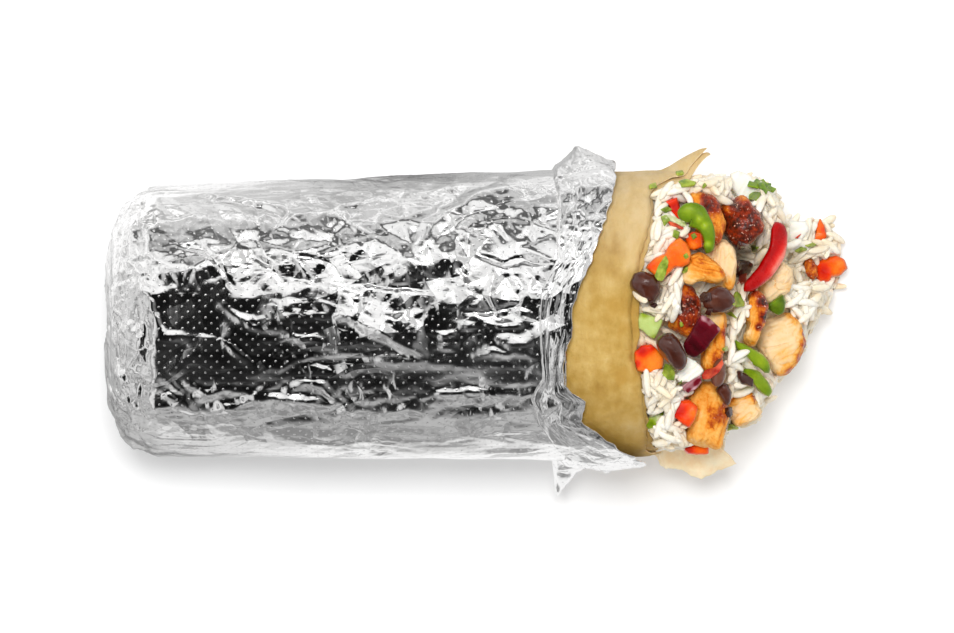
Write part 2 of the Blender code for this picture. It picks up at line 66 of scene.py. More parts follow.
# ---- Studio ---------------------------------------------------------------------------------------
# A white table with a large softbox almost straight above it and a small window on the far side.
# What the foil mirrors is the room: a dark ceiling, pale walls, and uneven light on the table.
MID_HEIGHT = 37.0
MIDDLE = Vector((-0.60, 2.71, MID_HEIGHT)) * MM
CAMERA_HEIGHT = 2.4
FIELD_WIDTH = 257.6 * MM
TABLE_SIZE = 14.0
TABLE_WHITE, TABLE_WHITE_MIRRORED = 0.72, 0.10
TABLE_GLOW, POOL_GLOW, PATCH_GLOW = 0.25, (0.20, 0.64), (0.45, 2.3)
POOL_REACH, PATCH_SIZE = 0.5, 100.0
ROOM_LIGHT = 0.58
WALLS_ACROSS = (
    # how bright the room is from the near side (0) over the ceiling (0.5) to the far side (1)
    (0.0, 0.55), (0.03, 0.42), (0.12, 0.16), (0.22, 0.03), (0.36, 0.004), (0.600, 0.004), (0.62, 0.95),
    (0.72, 1.15), (0.885, 1.0), (0.905, 0.12), (0.950, 0.12), (0.964, 0.62), (1.0, 0.80),
)
WALLS_ALONG = (
    # the same from the folded end (0) to the open end (1)
    (0.0, 0.85), (0.11, 0.72), (0.14, 0.20), (0.19, 0.95), (0.31, 0.55), (0.35, 0.04), (0.42, 0.0),
    (0.60, 0.0), (0.72, 0.14), (0.86, 0.35), (1.0, 0.6),
)
WALL_BLOTCHES = ((0.0, 0.45), (0.40, 0.62), (0.52, 0.95), (1.0, 1.10))


class Value:
    """A node's output that can be used in arithmetic."""

    def __init__(self, nodes, socket):
        self.nodes, self.socket = nodes, socket

    def __add__(self, other):
        return self.nodes.maths("ADD", self, other)

    def __sub__(self, other):
        return self.nodes.maths("SUBTRACT", self, other)

    def __rsub__(self, other):
        return self.nodes.maths("SUBTRACT", other, self)

    def __mul__(self, other):
        return self.nodes.maths("MULTIPLY", self, other)

    def __truediv__(self, other):
        return self.nodes.maths("DIVIDE", self, other)

    __radd__, __rmul__ = __add__, __mul__

    def between(self, start, end, low=0.0, high=1.0, easing="SMOOTHSTEP"):
        """This value from start to end, mapped to low and high."""
        settings = {"interpolation_type": easing}
        sockets = {"Value": self, "From Min": start, "From Max": end, "To Min": low, "To Max": high}
        return self.nodes.node("ShaderNodeMapRange", settings, sockets)


class Nodes:
    """The nodes of one material or world. Its methods add nodes and give back their outputs."""

    def __init__(self, tree):
        self.tree = tree

    def node(self, kind, settings=None, sockets=None, output=0):
        made = self.tree.nodes.new(kind)
        for name, value in (settings or {}).items():
            if name == "stops":
                stops = made.color_ramp.elements
                while len(stops) < len(value):
                    stops.new(1.0)
                for stop, (place, colour) in zip(stops, value):
                    stop.position = place
                    stop.color = (*colour, 1) if isinstance(colour, tuple) else (colour, colour, colour, 1)
            else:
                setattr(made, name, value)
        for name, value in (sockets or {}).items():
            self.feed(made.inputs[name], value)
        return Value(self, made.outputs[output])

    def feed(self, socket, value):
        if isinstance(value, Value):
            self.tree.links.new(value.socket, socket)
        elif isinstance(value, tuple) and len(value) == 3 and socket.type == "RGBA":
            socket.default_value = (*value, 1)
        else:
            socket.default_value = value

    def maths(self, operation, first, second=0.0):
        return self.node("ShaderNodeMath", {"operation": operation}, {0: first, 1: second})

    def vector_maths(self, operation, *values, output="Vector"):
        return self.node("ShaderNodeVectorMath", {"operation": operation}, dict(enumerate(values)), output)

    def apart(self, vector, axis):
        return self.node("ShaderNodeSeparateXYZ", {}, {0: vector}, axis)

    def coloured(self, value, *stops):
        """A value turned into the colours, or the greys, of the stops: (value, colour)."""
        return self.node("ShaderNodeValToRGB", {"stops": stops}, {"Fac": value})

    def mix(self, share, first, second):
        made = self.tree.nodes.new("ShaderNodeMix")
        made.data_type = "RGBA"
        for socket, value in ((0, share), (6, first), (7, second)):
            self.feed(made.inputs[socket], value)
        return Value(self, made.outputs[2])

    def place(self):
        """The place on the finished piece, in metres."""
        return self.node("ShaderNodeTexCoord", output="Object")

    def painted(self, name):
        """A value that was stored at the piece's points."""
        return self.node("ShaderNodeAttribute", {"attribute_name": name}, output="Fac")

    def speckle(self, size, detail=2.0, roughness=0.5, stretch=None, shift=0.0):
        """Cloudy noise from 0 to 1 whose patches are about size millimetres across."""
        where = self.place()
        if stretch or shift:
            settings = {"Vector": where, "Scale": stretch or (1, 1, 1), "Location": (shift, shift, shift)}
            where = self.node("ShaderNodeMapping", {}, settings)
        sockets = {"Vector": where, "Scale": 0.7 / (size * MM), "Detail": detail, "Roughness": roughness}
        return self.node("ShaderNodeTexNoise", {}, sockets)


class Finish(Nodes):
    """A material built up from nodes on one Principled shader."""

    def __init__(self, name, **constants):
        self.material = bpy.data.materials.new(name)
        self.material.use_nodes = True
        super().__init__(self.material.node_tree)
        self.shader = self.tree.nodes["Principled BSDF"]
        self.set(**constants)

    def bumped(self, height, depth, below=None):
        """Relief of the given depth in millimetres, over an earlier relief if there is one."""
        sockets = {"Height": height, "Distance": depth * MM, "Strength": 1.0}
        if below:
            sockets["Normal"] = below
        return self.node("ShaderNodeBump", {}, sockets)

    def set(self, **sockets):
        for name, value in sockets.items():
            self.feed(self.shader.inputs[name.replace("_", " ")], value)
        return self.material


bpy.ops.mesh.primitive_plane_add(size=TABLE_SIZE, location=(0, 0, 0))
table = bpy.context.object
table.name = "table"
laminate = Finish("table_white", Roughness=0.8, Specular_IOR_Level=0.0, Emission_Color=(1, 1, 1))
# The table glows. The camera sees it evenly white. In reflections its base is darker and its glow is a
# painted pool of light, brighter towards +Y and broken into patches.
in_mirror = laminate.node("ShaderNodeLightPath", output="Is Glossy Ray")
pool = laminate.apart(laminate.place(), "Y").between(-POOL_REACH, POOL_REACH, *POOL_GLOW, "LINEAR")
patches = laminate.speckle(PATCH_SIZE).between(0.38, 0.62, *PATCH_GLOW, "LINEAR")
laminate.set(Base_Color=in_mirror.between(0.0, 1.0, TABLE_WHITE, TABLE_WHITE_MIRRORED, "LINEAR"),
             Emission_Strength=TABLE_GLOW + in_mirror * (pool * patches - TABLE_GLOW))
table.data.materials.append(laminate.material)
table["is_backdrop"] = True


def softbox(name, from_zenith, bearing, distance, size, power):
    """A flat light aimed at the burrito. Bearing 90 is over the +Y side and 180 over -X."""
    panel = bpy.data.lights.new(name, "AREA")
    panel.shape = "RECTANGLE"
    panel.size, panel.size_y = size
    panel.energy = power
    made = bpy.data.objects.new(name, panel)
    tilt, turn = math.radians(from_zenith), math.radians(bearing)
    way = Vector((math.sin(tilt) * math.cos(turn), math.sin(tilt) * math.sin(turn), math.cos(tilt)))
    made.location = MIDDLE + way * distance
    made.rotation_euler = (-way).to_track_quat("-Z", "Y").to_euler()
    bpy.context.scene.collection.objects.link(made)
    return made


softbox("far_softbox", 9, 105, 1.6, (0.42, 0.38), 20).visible_glossy = False
softbox("small_window", 35, 75, 1.6, (0.35, 0.25), 1.7)

world = bpy.data.worlds.new("studio")
bpy.context.scene.world = world
world.use_nodes = True
room = Nodes(world.node_tree)
looking = room.node("ShaderNodeTexCoord", output="Generated")
across = room.coloured((room.apart(looking, "Y") + 1.0) / 2.0, *WALLS_ACROSS)
along = room.coloured((room.apart(looking, "X") + 1.0) / 2.0, *WALLS_ALONG)
blotches = room.node("ShaderNodeTexNoise", {}, {"Vector": looking, "Scale": 3.2, "Detail": 3.0})
brightness = room.maths("MAXIMUM", across, along) * room.coloured(blotches, *WALL_BLOTCHES)
walls = room.node("ShaderNodeBackground", {}, {"Color": brightness, "Strength": 1.0})
daylight = room.node("ShaderNodeBackground", {}, {"Color": (1, 1, 1), "Strength": ROOM_LIGHT})
backdrop = room.node("ShaderNodeBackground", {}, {"Color": (1, 1, 1), "Strength": 1.0})
seen = daylight
for ray, shown in (("Is Glossy Ray", walls), ("Is Camera Ray", backdrop)):
    share = room.node("ShaderNodeLightPath", output=ray)
    seen = room.node("ShaderNodeMixShader", {}, {0: share, 1: seen, 2: shown})
room.feed(world.node_tree.nodes["World Output"].inputs["Surface"], seen)

lens = bpy.data.cameras.new("camera")
lens.sensor_width = 36.0
lens.lens = 36.0 * CAMERA_HEIGHT / FIELD_WIDTH
camera = bpy.data.objects.new("camera", lens)
camera.location = MIDDLE + Vector((0, 0, CAMERA_HEIGHT))
bpy.context.scene.collection.objects.link(camera)
bpy.context.scene.camera = camera
bpy.context.scene.view_settings.view_transform = "Standard"
bpy.context.scene.view_settings.look = "None"


# ---- Foil wrapper ---------------------------------------------------------------------------------
# One sheet of embossed aluminium foil rolled round the burrito and tucked in at the folded end. It is
# crumpled by hand: smooth along both long edges, faceted on the far shoulder, streaked on the top.
FOLDED_END_X, BODY_END_X, MOUTH_X = -99.5, 24.0, 45.0
END_ROUNDING, END_BULGE, END_HALF_WIDTH = 14.0, 0.7, 35.7
HALF_WIDTHS, HEIGHTS = (36.4, 40.0), (70.0, 75.0)
SQUARENESS, PRESSED_FLAT, SHIFT = 2.35, 1.5, 2.0
RICE_FAR_SIDE = 38.3
FOIL_FINE, FOIL_WIDE, FOIL_ROW = 0.60, 1.8, 0.50
FOIL_THICKNESS, DEEPEST_DENT = 0.9, 1.4
DOT_PITCH, DOT_HEIGHT = 3.1, 0.06
WIDE_CRINKLE, WIDE_CRINKLE_DEPTH = 7.0, 0.42
FINE_CRINKLE, FINE_CRINKLE_DEPTH = 3.4, 0.09
ORIGIN = Vector((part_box("foil_wrap")[0].x / MM - FOLDED_END_X + END_BULGE,
                 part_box("rice_filling")[1].y / MM - RICE_FAR_SIDE, 0.0))


def between(low, high, share):
    """The value that lies a share of the way from low to high."""
    return low + (high - low) * share


def ramp(value, start, end):
    """0 before start and 1 past end, with a straight climb between them."""
    return np.clip((value - start) / (end - start), 0.0, 1.0)


def signed_power(value, power):
    """A power that keeps the value's sign, for rounded squares."""
    return np.sign(value) * np.abs(value) ** power


def body(x, angle, inset):
    """Points of the rolled body in mm at x and girth angle, inset from its outside."""
    along = ramp(x, FOLDED_END_X, MOUTH_X)
    waves = np.sin(np.radians(3 * angle) + 0.025 * x) + np.sin(np.radians(5 * angle) - 0.035 * x)
    waves = 0.4 * waves * np.clip(1 - inset / END_ROUNDING, 0, 1)
    half_y = between(*HALF_WIDTHS, along) - inset + waves
    top = between(*HEIGHTS, along)
    half_z = (top + PRESSED_FLAT) / 2 - inset + waves
    turn = np.radians(angle)
    y = SHIFT * along + half_y * signed_power(np.cos(turn), 2 / SQUARENESS)
    z = (top - PRESSED_FLAT) / 2 + half_z * signed_power(np.sin(turn), 2 / SQUARENESS)
    z = np.maximum(z, np.clip(inset, 0.0, END_ROUNDING))
    return np.stack(np.broadcast_arrays(x, y, z), axis=-1)


def girth_columns(close, wide, low_z):
    """Girth angles from the underside round to it again, close together above low_z, and their lengths."""
    angles = np.linspace(-90, 270, 7201)
    section = body(-20.0, angles, 0.0)
    steps = np.linalg.norm(np.diff(section, axis=0), axis=1)
    length = np.concatenate([[0], np.cumsum(steps)])
    pitch = between(wide, close, ramp(section[1:, 2], low_z - 6, low_z + 4))
    count = np.concatenate([[0], np.cumsum(steps / pitch)])
    picks = np.linspace(0, count[-1], int(count[-1]) + 1)
    return np.interp(picks, count, angles), np.interp(picks, count, length)


def end_rows(inset, flat_step, round_step):
    """(x, depth, length) of rows over the folded end, from its pole to where the straight side starts."""
    rows = []
    flat = END_HALF_WIDTH - END_ROUNDING
    steps = max(int(flat / flat_step), 1)
    for share in np.linspace(0, 1, steps, endpoint=False):
        depth = between(END_HALF_WIDTH, END_ROUNDING, share)
        rows.append((FOLDED_END_X + inset - END_BULGE * (1 - share * share), depth, flat * share))
    radius = END_ROUNDING - inset
    steps = int(radius * math.pi / 2 / round_step)
    for turn in np.linspace(0, math.pi / 2, steps, endpoint=False):
        x = FOLDED_END_X + END_ROUNDING - radius * math.cos(turn)
        rows.append((x, END_ROUNDING - radius * math.sin(turn), flat + END_ROUNDING * turn))
    return rows


def outward(points):
    """Unit normals of a grid of points that runs round the girth in each row."""
    across = np.empty_like(points)
    across[:, 1:-1] = points[:, 2:] - points[:, :-2]
    across[:, 0] = points[:, 1] - points[:, -2]
    across[:, -1] = across[:, 0]
    normals = np.cross(across, np.gradient(points, axis=0))
    size = np.linalg.norm(normals, axis=-1, keepdims=True)
    return normals / np.maximum(size, 1e-9)


def creased(seed, pitch_long, pitch_round, long, round_, girth=None, edge=0.0, edge_width=0.7):
    """Flat random facets over a grid of lengths, from -1 to 1. Their edges may be pinched up or down."""
    chance = random.Random(seed)
    first = int(long.min() / pitch_long) - 2
    rows = int(long.max() / pitch_long) + 3 - first
    span = girth if girth else round_.max() - round_.min() + 4 * pitch_round
    columns = max(int(round(span / pitch_round)), 4)
    pitch_round = span / columns
    base = 0 if girth else round_.min() - 2 * pitch_round
    points, heights = [], []
    for row in range(rows):
        for column in range(columns):
            p = (first + row + chance.uniform(0.05, 0.95), column + chance.uniform(0.05, 0.95))
            height = chance.uniform(-1, 1)
            for turn in (-columns, 0, columns) if girth else (0,):
                if -3 < p[1] + turn < columns + 3:
                    points.append(Vector((p[0], p[1] + turn)))
                    heights.append(height)
    verts, _, faces, origins, _, _ = geometry.delaunay_2d_cdt(points, [], [], 0, 1e-6)
    heights = [heights[origin[0]] for origin in origins]
    u, v = long / pitch_long, (round_ - base) / pitch_round
    field = np.zeros((len(u), len(v)))
    for face in faces:
        (ax, ay), (bx, by), (cx, cy) = (verts[i] for i in face)
        i0, i1 = np.searchsorted(u, (min(ax, bx, cx), max(ax, bx, cx)))
        j0, j1 = np.searchsorted(v, (min(ay, by, cy), max(ay, by, cy)))
        if i0 == i1 or j0 == j1:
            continue
        area = (bx - ax) * (cy - ay) - (cx - ax) * (by - ay)
        if abs(area) < 1e-9:
            continue
        px, py = u[i0:i1, None], v[None, j0:j1]
        b = ((px - ax) * (cy - ay) - (cx - ax) * (py - ay)) / area
        c = ((bx - ax) * (py - ay) - (px - ax) * (by - ay)) / area
        a = 1 - b - c
        inside = (a > -1e-6) & (b > -1e-6) & (c > -1e-6)
        ha, hb, hc = (heights[i] for i in face)
        level = a * ha + b * hb + c * hc
        if edge:
            pitch = (pitch_long + pitch_round) / 2 * abs(area)
            pinch = 0.0
            for far, (px0, py0, h0), (px1, py1, h1) in ((a, (bx, by, hb), (cx, cy, hc)),
                                                        (b, (cx, cy, hc), (ax, ay, ha)),
                                                        (c, (ax, ay, ha), (bx, by, hb))):
                away = far * pitch / math.dist((px0, py0), (px1, py1))
                strength = abs(h0 - h1) / 2 * (1 if h0 + h1 > 0 else -1)
                line = np.clip(1 - away / edge_width, 0, 1) * strength
                pinch = np.where(np.abs(line) > np.abs(pinch), line, pinch)
            level = level + edge * pinch
        block = field[i0:i1, j0:j1]
        block[inside] = level[inside]
    return field


def folds(lines, x, y):
    """Height of folds, each given as (rise, width on the left of its line, on its right, its points)."""
    height = np.zeros_like(x)
    for rise, left, right, line in lines:
        xs, ys = [p[0] for p in line], [p[1] for p in line]
        reach = max(left, right)
        near = (x > min(xs) - reach) & (x < max(xs) + reach)
        near &= (y > min(ys) - reach) & (y < max(ys) + reach)
        px, py = x[near], y[near]
        if not len(px):
            continue
        share = np.zeros_like(px)
        lengths = [math.dist(a, b) for a, b in zip(line, line[1:])]
        total, before = sum(lengths), 0.0
        for (ax, ay), (bx, by), length in zip(line, line[1:], lengths):
            dx, dy = (bx - ax) / length, (by - ay) / length
            run = np.clip((px - ax) * dx + (py - ay) * dy, 0, length)
            away = np.hypot(px - ax - run * dx, py - ay - run * dy)
            side = (dx * (py - ay) - dy * (px - ax)) > 0
            tent = 1 - away / np.where(side, left, right)
            end = np.minimum(before + run, total - before - run) / min(5.0, total / 2)
            share = np.maximum(share, tent * np.clip(end, 0, 1) ** 0.7)
            before += length
        height[near] += rise * np.maximum(share, 0)
    return height


def rolled(name, points, lengths, rounds):
    """A grid added flat, then rolled into shape. Its rows run along the burrito, its columns round it."""
    rows, columns = points.shape[:2]
    bpy.ops.mesh.primitive_grid_add(x_subdivisions=columns - 1, y_subdivisions=rows - 1, size=1)
    piece = bpy.context.object
    piece.name = piece.data.name = name
    mesh = piece.data
    place = (points.reshape(-1, 3) + np.array(ORIGIN)) * MM
    place[:, 2] = np.maximum(place[:, 2], 0.0)
    mesh.vertices.foreach_set("co", place.ravel())
    corners = np.empty(len(mesh.loops), int)
    mesh.loops.foreach_get("vertex_index", corners)
    spread = np.stack(np.broadcast_arrays(rounds[None, :], lengths[:, None]), axis=-1).reshape(-1, 2)
    mesh.uv_layers[0].name = "sheet"
    mesh.uv_layers[0].data.foreach_set("uv", (spread[corners] * MM).ravel())
    bpy.ops.object.mode_set(mode="EDIT")
    bpy.ops.mesh.select_all(action="SELECT")
    bpy.ops.mesh.remove_doubles(threshold=2e-6)
    bpy.ops.object.mode_set(mode="OBJECT")
    bpy.ops.object.shade_smooth()
    bpy.ops.object.select_all(action="DESELECT")
    return piece


def crinkles(foil, size, seed):
    """Sharp straight folds that cross each other, size millimetres apart, as hand-crumpled foil has."""
    chance = random.Random(seed)
    soft = {"Vector": foil.place(), "Scale": 0.35 / (size * MM), "Detail": 1.0}
    bend = foil.node("ShaderNodeTexNoise", {}, soft, "Color")
    where = foil.vector_maths("MULTIPLY_ADD", bend, (3.0 * size * MM,) * 3, foil.place())
    height = 0.0
    for turn in range(5):
        way = Vector([chance.gauss(0, 1) for _ in range(3)]).normalized() * chance.uniform(0.7, 1.4)
        run = foil.vector_maths("DOT_PRODUCT", where, tuple(way / (size * MM)), output="Value")
        height = foil.maths("PINGPONG", run, 1.0) * chance.choice((-1.0, 1.0)) + height
    return height


def foil_finish():
    """Bright aluminium with a diagonal lattice of small embossed points."""
    foil = Finish("embossed_foil", Base_Color=(0.90, 0.895, 0.89), Metallic=1.0)
    spread = foil.node("ShaderNodeUVMap", {"uv_map": "sheet"})
    wander = foil.node("ShaderNodeTexNoise", {}, {"Vector": spread, "Scale": 45.0, "Detail": 1.0}, "Color")
    nudged = foil.vector_maths("MULTIPLY_ADD", wander, (0.0012, 0.0012, 0), spread)
    turn = 2 * math.pi / (DOT_PITCH * MM)
    waves = [foil.maths("COSINE", foil.apart(nudged, axis) * turn) for axis in "XY"]
    dots = (waves[0] * waves[1]).between(0.80, 1.0)
    calm = foil.speckle(16.0, 2.0, shift=0.3).between(0.38, 0.60, 0.25, 1.0)
    relief = foil.bumped(crinkles(foil, WIDE_CRINKLE, 4) * calm, WIDE_CRINKLE_DEPTH)
    relief = foil.bumped(crinkles(foil, FINE_CRINKLE, 9) * calm, FINE_CRINKLE_DEPTH, relief)
    relief = foil.bumped(dots, DOT_HEIGHT, relief)
    haze = foil.speckle(9.0, 3.0, 0.6)
    return foil.set(Roughness=haze.between(0.3, 0.75, 0.08, 0.20), Normal=relief)


FOLD_LINES = (
    # the long folds across the streaked top
    (0.6, 1.1, 2, ((-88, 9), (-87, 3), (-84, -3.5))),
    (0.5, 1.3, 2.2, ((-86, -3.6), (-78, -4), (-71, -4.8), (-66, -6.5), (-62, -9.5),
                     (-60, -12.5))),
    (0.3, 1.2, 1.8, ((-79, -5.5), (-73, -6.6), (-68, -7.2))),
    (0.4, 1.3, 1.8, ((-70, 5), (-66.5, 3.5), (-63, 1), (-60, -1.2), (-52, -2.5),
                     (-48, -4.6), (-40, -4.4))),
    (0.4, 1.2, 1.6, ((-57, -4.9), (-50, -4.6), (-44, -4.4))),
    (0.4, 1.2, 1.4, ((-58, -13), (-52, -12.6), (-47, -10), (-40, -9.3), (-34, -8.8),
                     (-26, -9.4), (-18, -9))),
    (2.1, 7.5, 2.2, ((-38, 1.5), (-31, -0.6), (-24, -4), (-19, -7), (-13, -9.6))),
    (0.5, 1.3, 1.6, ((-30, -10.6), (-20, -10.8), (-12, -11.2), (-4, -11.5))),
    (0.8, 2.6, 1.6, ((-14, -2.4), (-9, -3.8), (-4, -3.4))),
    (0.9, 2.6, 1.6, ((-13, -6.6), (-8, -7.2), (-5, -7.6))),
    (0.8, 2, 1.6, ((-6, -2), (0, -1.8))),
    (0.9, 2.4, 1.5, ((1, -1), (6, -1.4), (12, -0.6), (16, -0.8))),
    (0.9, 3, 1.6, ((4, -5.4), (9, -6.4), (15, -6.8))),
    (0.7, 1.8, 1.6, ((-2, -9.6), (4, -8.4), (10, -8.6), (17, -9.8))),
    # the creases that fan out near the folded end, and the lens beside them
    (0.7, 1.4, 1.6, ((-85, -14.5), (-80, -18), (-76, -22.5))),
    (0.7, 1.4, 1.6, ((-86, -18), (-80, -21.5), (-72, -24.6))),
    (0.6, 1.3, 1.5, ((-88, -24), (-82, -22.5), (-74, -24))),
    (0.6, 1.3, 1.6, ((-79, -16.5), (-72, -19), (-66, -18), (-60, -19.5), (-52, -17))),
    (1.3, 1.6, 3.6, ((-74, -23.6), (-66, -22.6), (-60, -20.6), (-52, -20.8), (-44, -21.8),
                     (-38, -23))),
    (0.8, 1.5, 1.8, ((-52, -19), (-46, -16.6), (-41, -17.6), (-37, -21.6), (-33, -24.8))),
    (0.8, 1.6, 1.8, ((-40, -26.5), (-35, -23.8), (-30, -24.4), (-22, -23.6), (-14, -23.8))),
    (0.7, 1.4, 1.6, ((-16, -18.6), (-8, -19.4), (-2, -18.4), (4, -19.6), (12, -19.8),
                     (18, -17.6))),
    # the deep grooves between the facets of the far shoulder, and the swell beside them
    (-1, 1.3, 1.3, ((-76, 34), (-68, 32.6), (-58, 31.2), (-51, 28))),
    (-0.7, 1, 1, ((-80, 20.2), (-73, 19), (-69, 15), (-66, 9.5))),
    (-0.7, 1, 1, ((-60, 17.5), (-55, 15.5), (-52, 10.5))),
    (-0.8, 1.2, 1.2, ((-31, 12.5), (-28, 9.8), (-22, 9.2), (-16, 8.8), (-12, 8))),
    (-0.8, 1.1, 1.1, ((-1.5, 18.8), (3, 16.8), (7, 15.8), (13, 16.6), (19, 15.4))),
    (-0.6, 1, 1, ((3.5, 26), (6, 24), (7.5, 21.5))),
    (-0.6, 1, 1, ((13, 24.5), (14.5, 20.5))),
    (-0.6, 1, 1, ((16, 31), (17.5, 26), (16, 22.5))),
    (-0.6, 0.9, 0.9, ((-7.5, 13), (-4.5, 14.5), (-3, 11), (-3.5, 8.5))),
    (-0.6, 0.9, 0.9, ((10, 5), (12.5, 9), (10, 13))),
    (-0.8, 1.1, 1.1, ((-5, 3), (2, 2.4), (8, 3.8), (16, 3.4))),
    (1.4, 2.6, 3.4, ((-17, 18), (-13, 25), (-6, 30), (0, 33.5), (12, 36))),
    # short dents along the two smooth edges
    (-0.35, 0.7, 0.7, ((-60, 36.4), (-56, 35.8))),
    (-0.35, 0.6, 0.6, ((-42, 39.2), (-32, 38.4), (-20, 38.2))),
    (-0.35, 0.6, 0.6, ((-45, 35.4), (-36, 34.6))),
    (-0.35, 0.7, 0.7, ((-29, 35.2), (-22, 34.6))),
    (-0.5, 0.7, 0.7, ((-16, 33.2), (-12, 32.2))),
    (-0.5, 0.8, 0.8, ((-9, 35), (-5, 33.4))),
    (-0.4, 0.7, 0.7, ((3, 38.6), (9, 37.4), (14, 37))),
    (-0.5, 0.9, 0.9, ((11, 35.4), (17, 33.6))),
    (-0.35, 0.6, 0.6, ((-69, -32.6), (-61, -31.4))),
    (-0.3, 0.6, 0.6, ((-83, -33), (-78, -33.6))),
    (-0.3, 0.6, 0.6, ((-33, -28), (-22, -26.4), (-14, -25.2))),
    (-0.3, 0.6, 0.6, ((-30, -32.4), (-22, -32.6))),
    (-0.3, 0.6, 0.6, ((-9, -33.2), (-1, -32))),
)

END_FOLDS = (
    # the flaps of the folded end, seen along the burrito as (y, z): the top one lies over the side ones
    (1.2, 14, 0.9, ((-27, 46), (-14, 40), (2, 37), (14, 38.5), (27, 45))),
    (1, 0.9, 12, ((-7, 6), (-9, 18), (-14, 30), (-20, 41))),
    (1, 12, 0.9, ((10, 5), (11, 17), (15, 29), (22, 41))),
    (-1, 1.2, 1.2, ((-26, 60), (-17, 50), (-13, 41))),
    (-1, 1.2, 1.2, ((27, 60), (18, 52), (14, 40))),
    (-0.8, 1, 1, ((-3, 64), (-1, 52), (3, 44))),
    (-0.8, 1, 1, ((-28, 16), (-20, 20), (-12, 19))),
    (-0.8, 1, 1, ((30, 20), (22, 23), (13, 21))),
)

angles, rounds = girth_columns(FOIL_FINE, FOIL_WIDE, 14.0)
GIRTH = rounds[-1]
rows = end_rows(0.0, 1.1, 0.5)
side_start = rows[-1][2] + 0.5
side_x = np.arange(FOLDED_END_X + END_ROUNDING, BODY_END_X, FOIL_ROW)
xs = np.array([row[0] for row in rows] + list(side_x))
depths = np.array([row[1] for row in rows] + [0.0] * len(side_x))
lengths = np.array([row[2] for row in rows] + list(side_start + side_x - side_x[0]))
skin = body(xs[:, None], angles[None, :], depths[:, None])
normals = outward(skin)
plan_x, plan_y, plan_z = skin[..., 0], skin[..., 1], skin[..., 2]

# where each kind of crumple lies: the far shoulder, the streaked middle, the near fan and the end
upper = ramp(plan_z, 26.0, 38.0)
band_top = np.interp(plan_x, (-90, -40, -30, -16, -6, 2, 18), (8.5, 7.0, 3.0, -4.0, 2.0, 0.0, 0.0))
shoulder = ramp(plan_y, band_top - 1.5, band_top + 2.5) * (1 - ramp(plan_y, 29.0, 33.0)) * upper
middle = (1 - ramp(plan_y, band_top - 2.0, band_top + 1.0)) * ramp(plan_y, -27.0, -22.0) * upper
crease_fan = ramp(plan_y, -27.5, -24.0) * (1 - ramp(plan_y, -19.0, -15.0)) * upper
end_band = 1 - ramp(plan_x, -90.0, -86.0)
smooth_edges = 1 - np.clip(shoulder + middle, 0, 1)
calm_corner = 0.62 * (1 - ramp(plan_x, -58.0, -48.0)) * ramp(plan_y, 18.0, 22.0)
flat_panel = np.clip(1 - ((plan_y - 25.5) / 6.5) ** 2, 0, 1) * upper
flat_panel *= ramp(plan_x, -93.0, -87.0) * (1 - ramp(plan_x, -58.0, -46.0))
streaked = middle * between(0.35, 1.0, ramp(plan_x, -66.0, -52.0))
CRUMPLES = (
    # height, seed, spacing along and round, height and width of the pinched edges, where it lies
    (0.34, 3, 17.0, 13.0, 0.0, 0.7, 1 - 0.4 * middle),
    (0.86, 5, 6.6, 5.8, 0.35, 1.0, shoulder * (1 - end_band) * (1 - calm_corner)),
    (0.16, 7, 3.2, 2.8, 0.9, 0.6, shoulder + crease_fan + end_band),
    (0.26, 11, 14.0, 3.6, 0.0, 0.7, streaked),
    (0.20, 41, 8.0, 2.1, 1.0, 0.5, streaked),
    (0.30, 13, 4.6, 2.6, 0.6, 0.6, crease_fan),
    (0.62, 17, 4.6, 7.0, 0.8, 0.7, end_band),
    (0.30, 43, 1.9, 6.0, 1.0, 0.5, end_band),
    (0.24, 19, 12.0, 3.0, 0.0, 0.7, smooth_edges),
    (0.09, 97, 6.0, 1.7, 1.2, 0.5, smooth_edges),
    (0.05, 23, 3.6, 2.6, 0.0, 0.7, 1.0),
)
crumple = -0.75 * flat_panel - 0.5 * end_band
for height, seed, along, round_, edge, edge_width, where in CRUMPLES:
    crumple += height * creased(seed, along, round_, lengths, rounds, GIRTH, edge, edge_width) * where
wander_x = 0.55 * creased(31, 3.4, 3.0, lengths, rounds, GIRTH)
wander_y = 0.55 * creased(37, 3.0, 3.4, lengths, rounds, GIRTH)
crumple += folds(FOLD_LINES, plan_x + wander_x, np.where(plan_z > 30, plan_y + wander_y, 999.0))
crumple *= between(0.35, 1.0, ramp(plan_z, 2.0, 12.0))

# the folded end has its own relief, drawn flat on it and pressed in as far as its rounded rim
FACE_CELL, FACE_LOW_Y, FACE_LOW_Z = 0.5, -46.0, -4.0
face_y, face_z = np.arange(FACE_LOW_Y, 50.0, FACE_CELL), np.arange(FACE_LOW_Z, 84.0, FACE_CELL)
face = 0.85 * creased(47, 14.0, 11.0, face_y, face_z, None, 0.5, 0.8)
face += 0.40 * creased(53, 5.0, 4.4, face_y, face_z, None, 0.7, 0.6)
face += folds(END_FOLDS, *np.meshgrid(face_y, face_z, indexing="ij"))
at_y, at_z = (plan_y - FACE_LOW_Y) / FACE_CELL, (plan_z - FACE_LOW_Z) / FACE_CELL
i, j = at_y.astype(int), at_z.astype(int)
lower, higher = (between(face[i, k], face[i + 1, k], at_y - i) for k in (j, j + 1))
pressed = between(lower, higher, at_z - j)
crumple = between(crumple, pressed - 0.9, ramp(depths[:, None], 5.0, END_ROUNDING))
crumple = np.maximum(crumple, -DEEPEST_DENT)
normals[0] = (-1.0, 0.0, 0.0)
outer = skin + normals * (crumple - 0.25)[..., None]

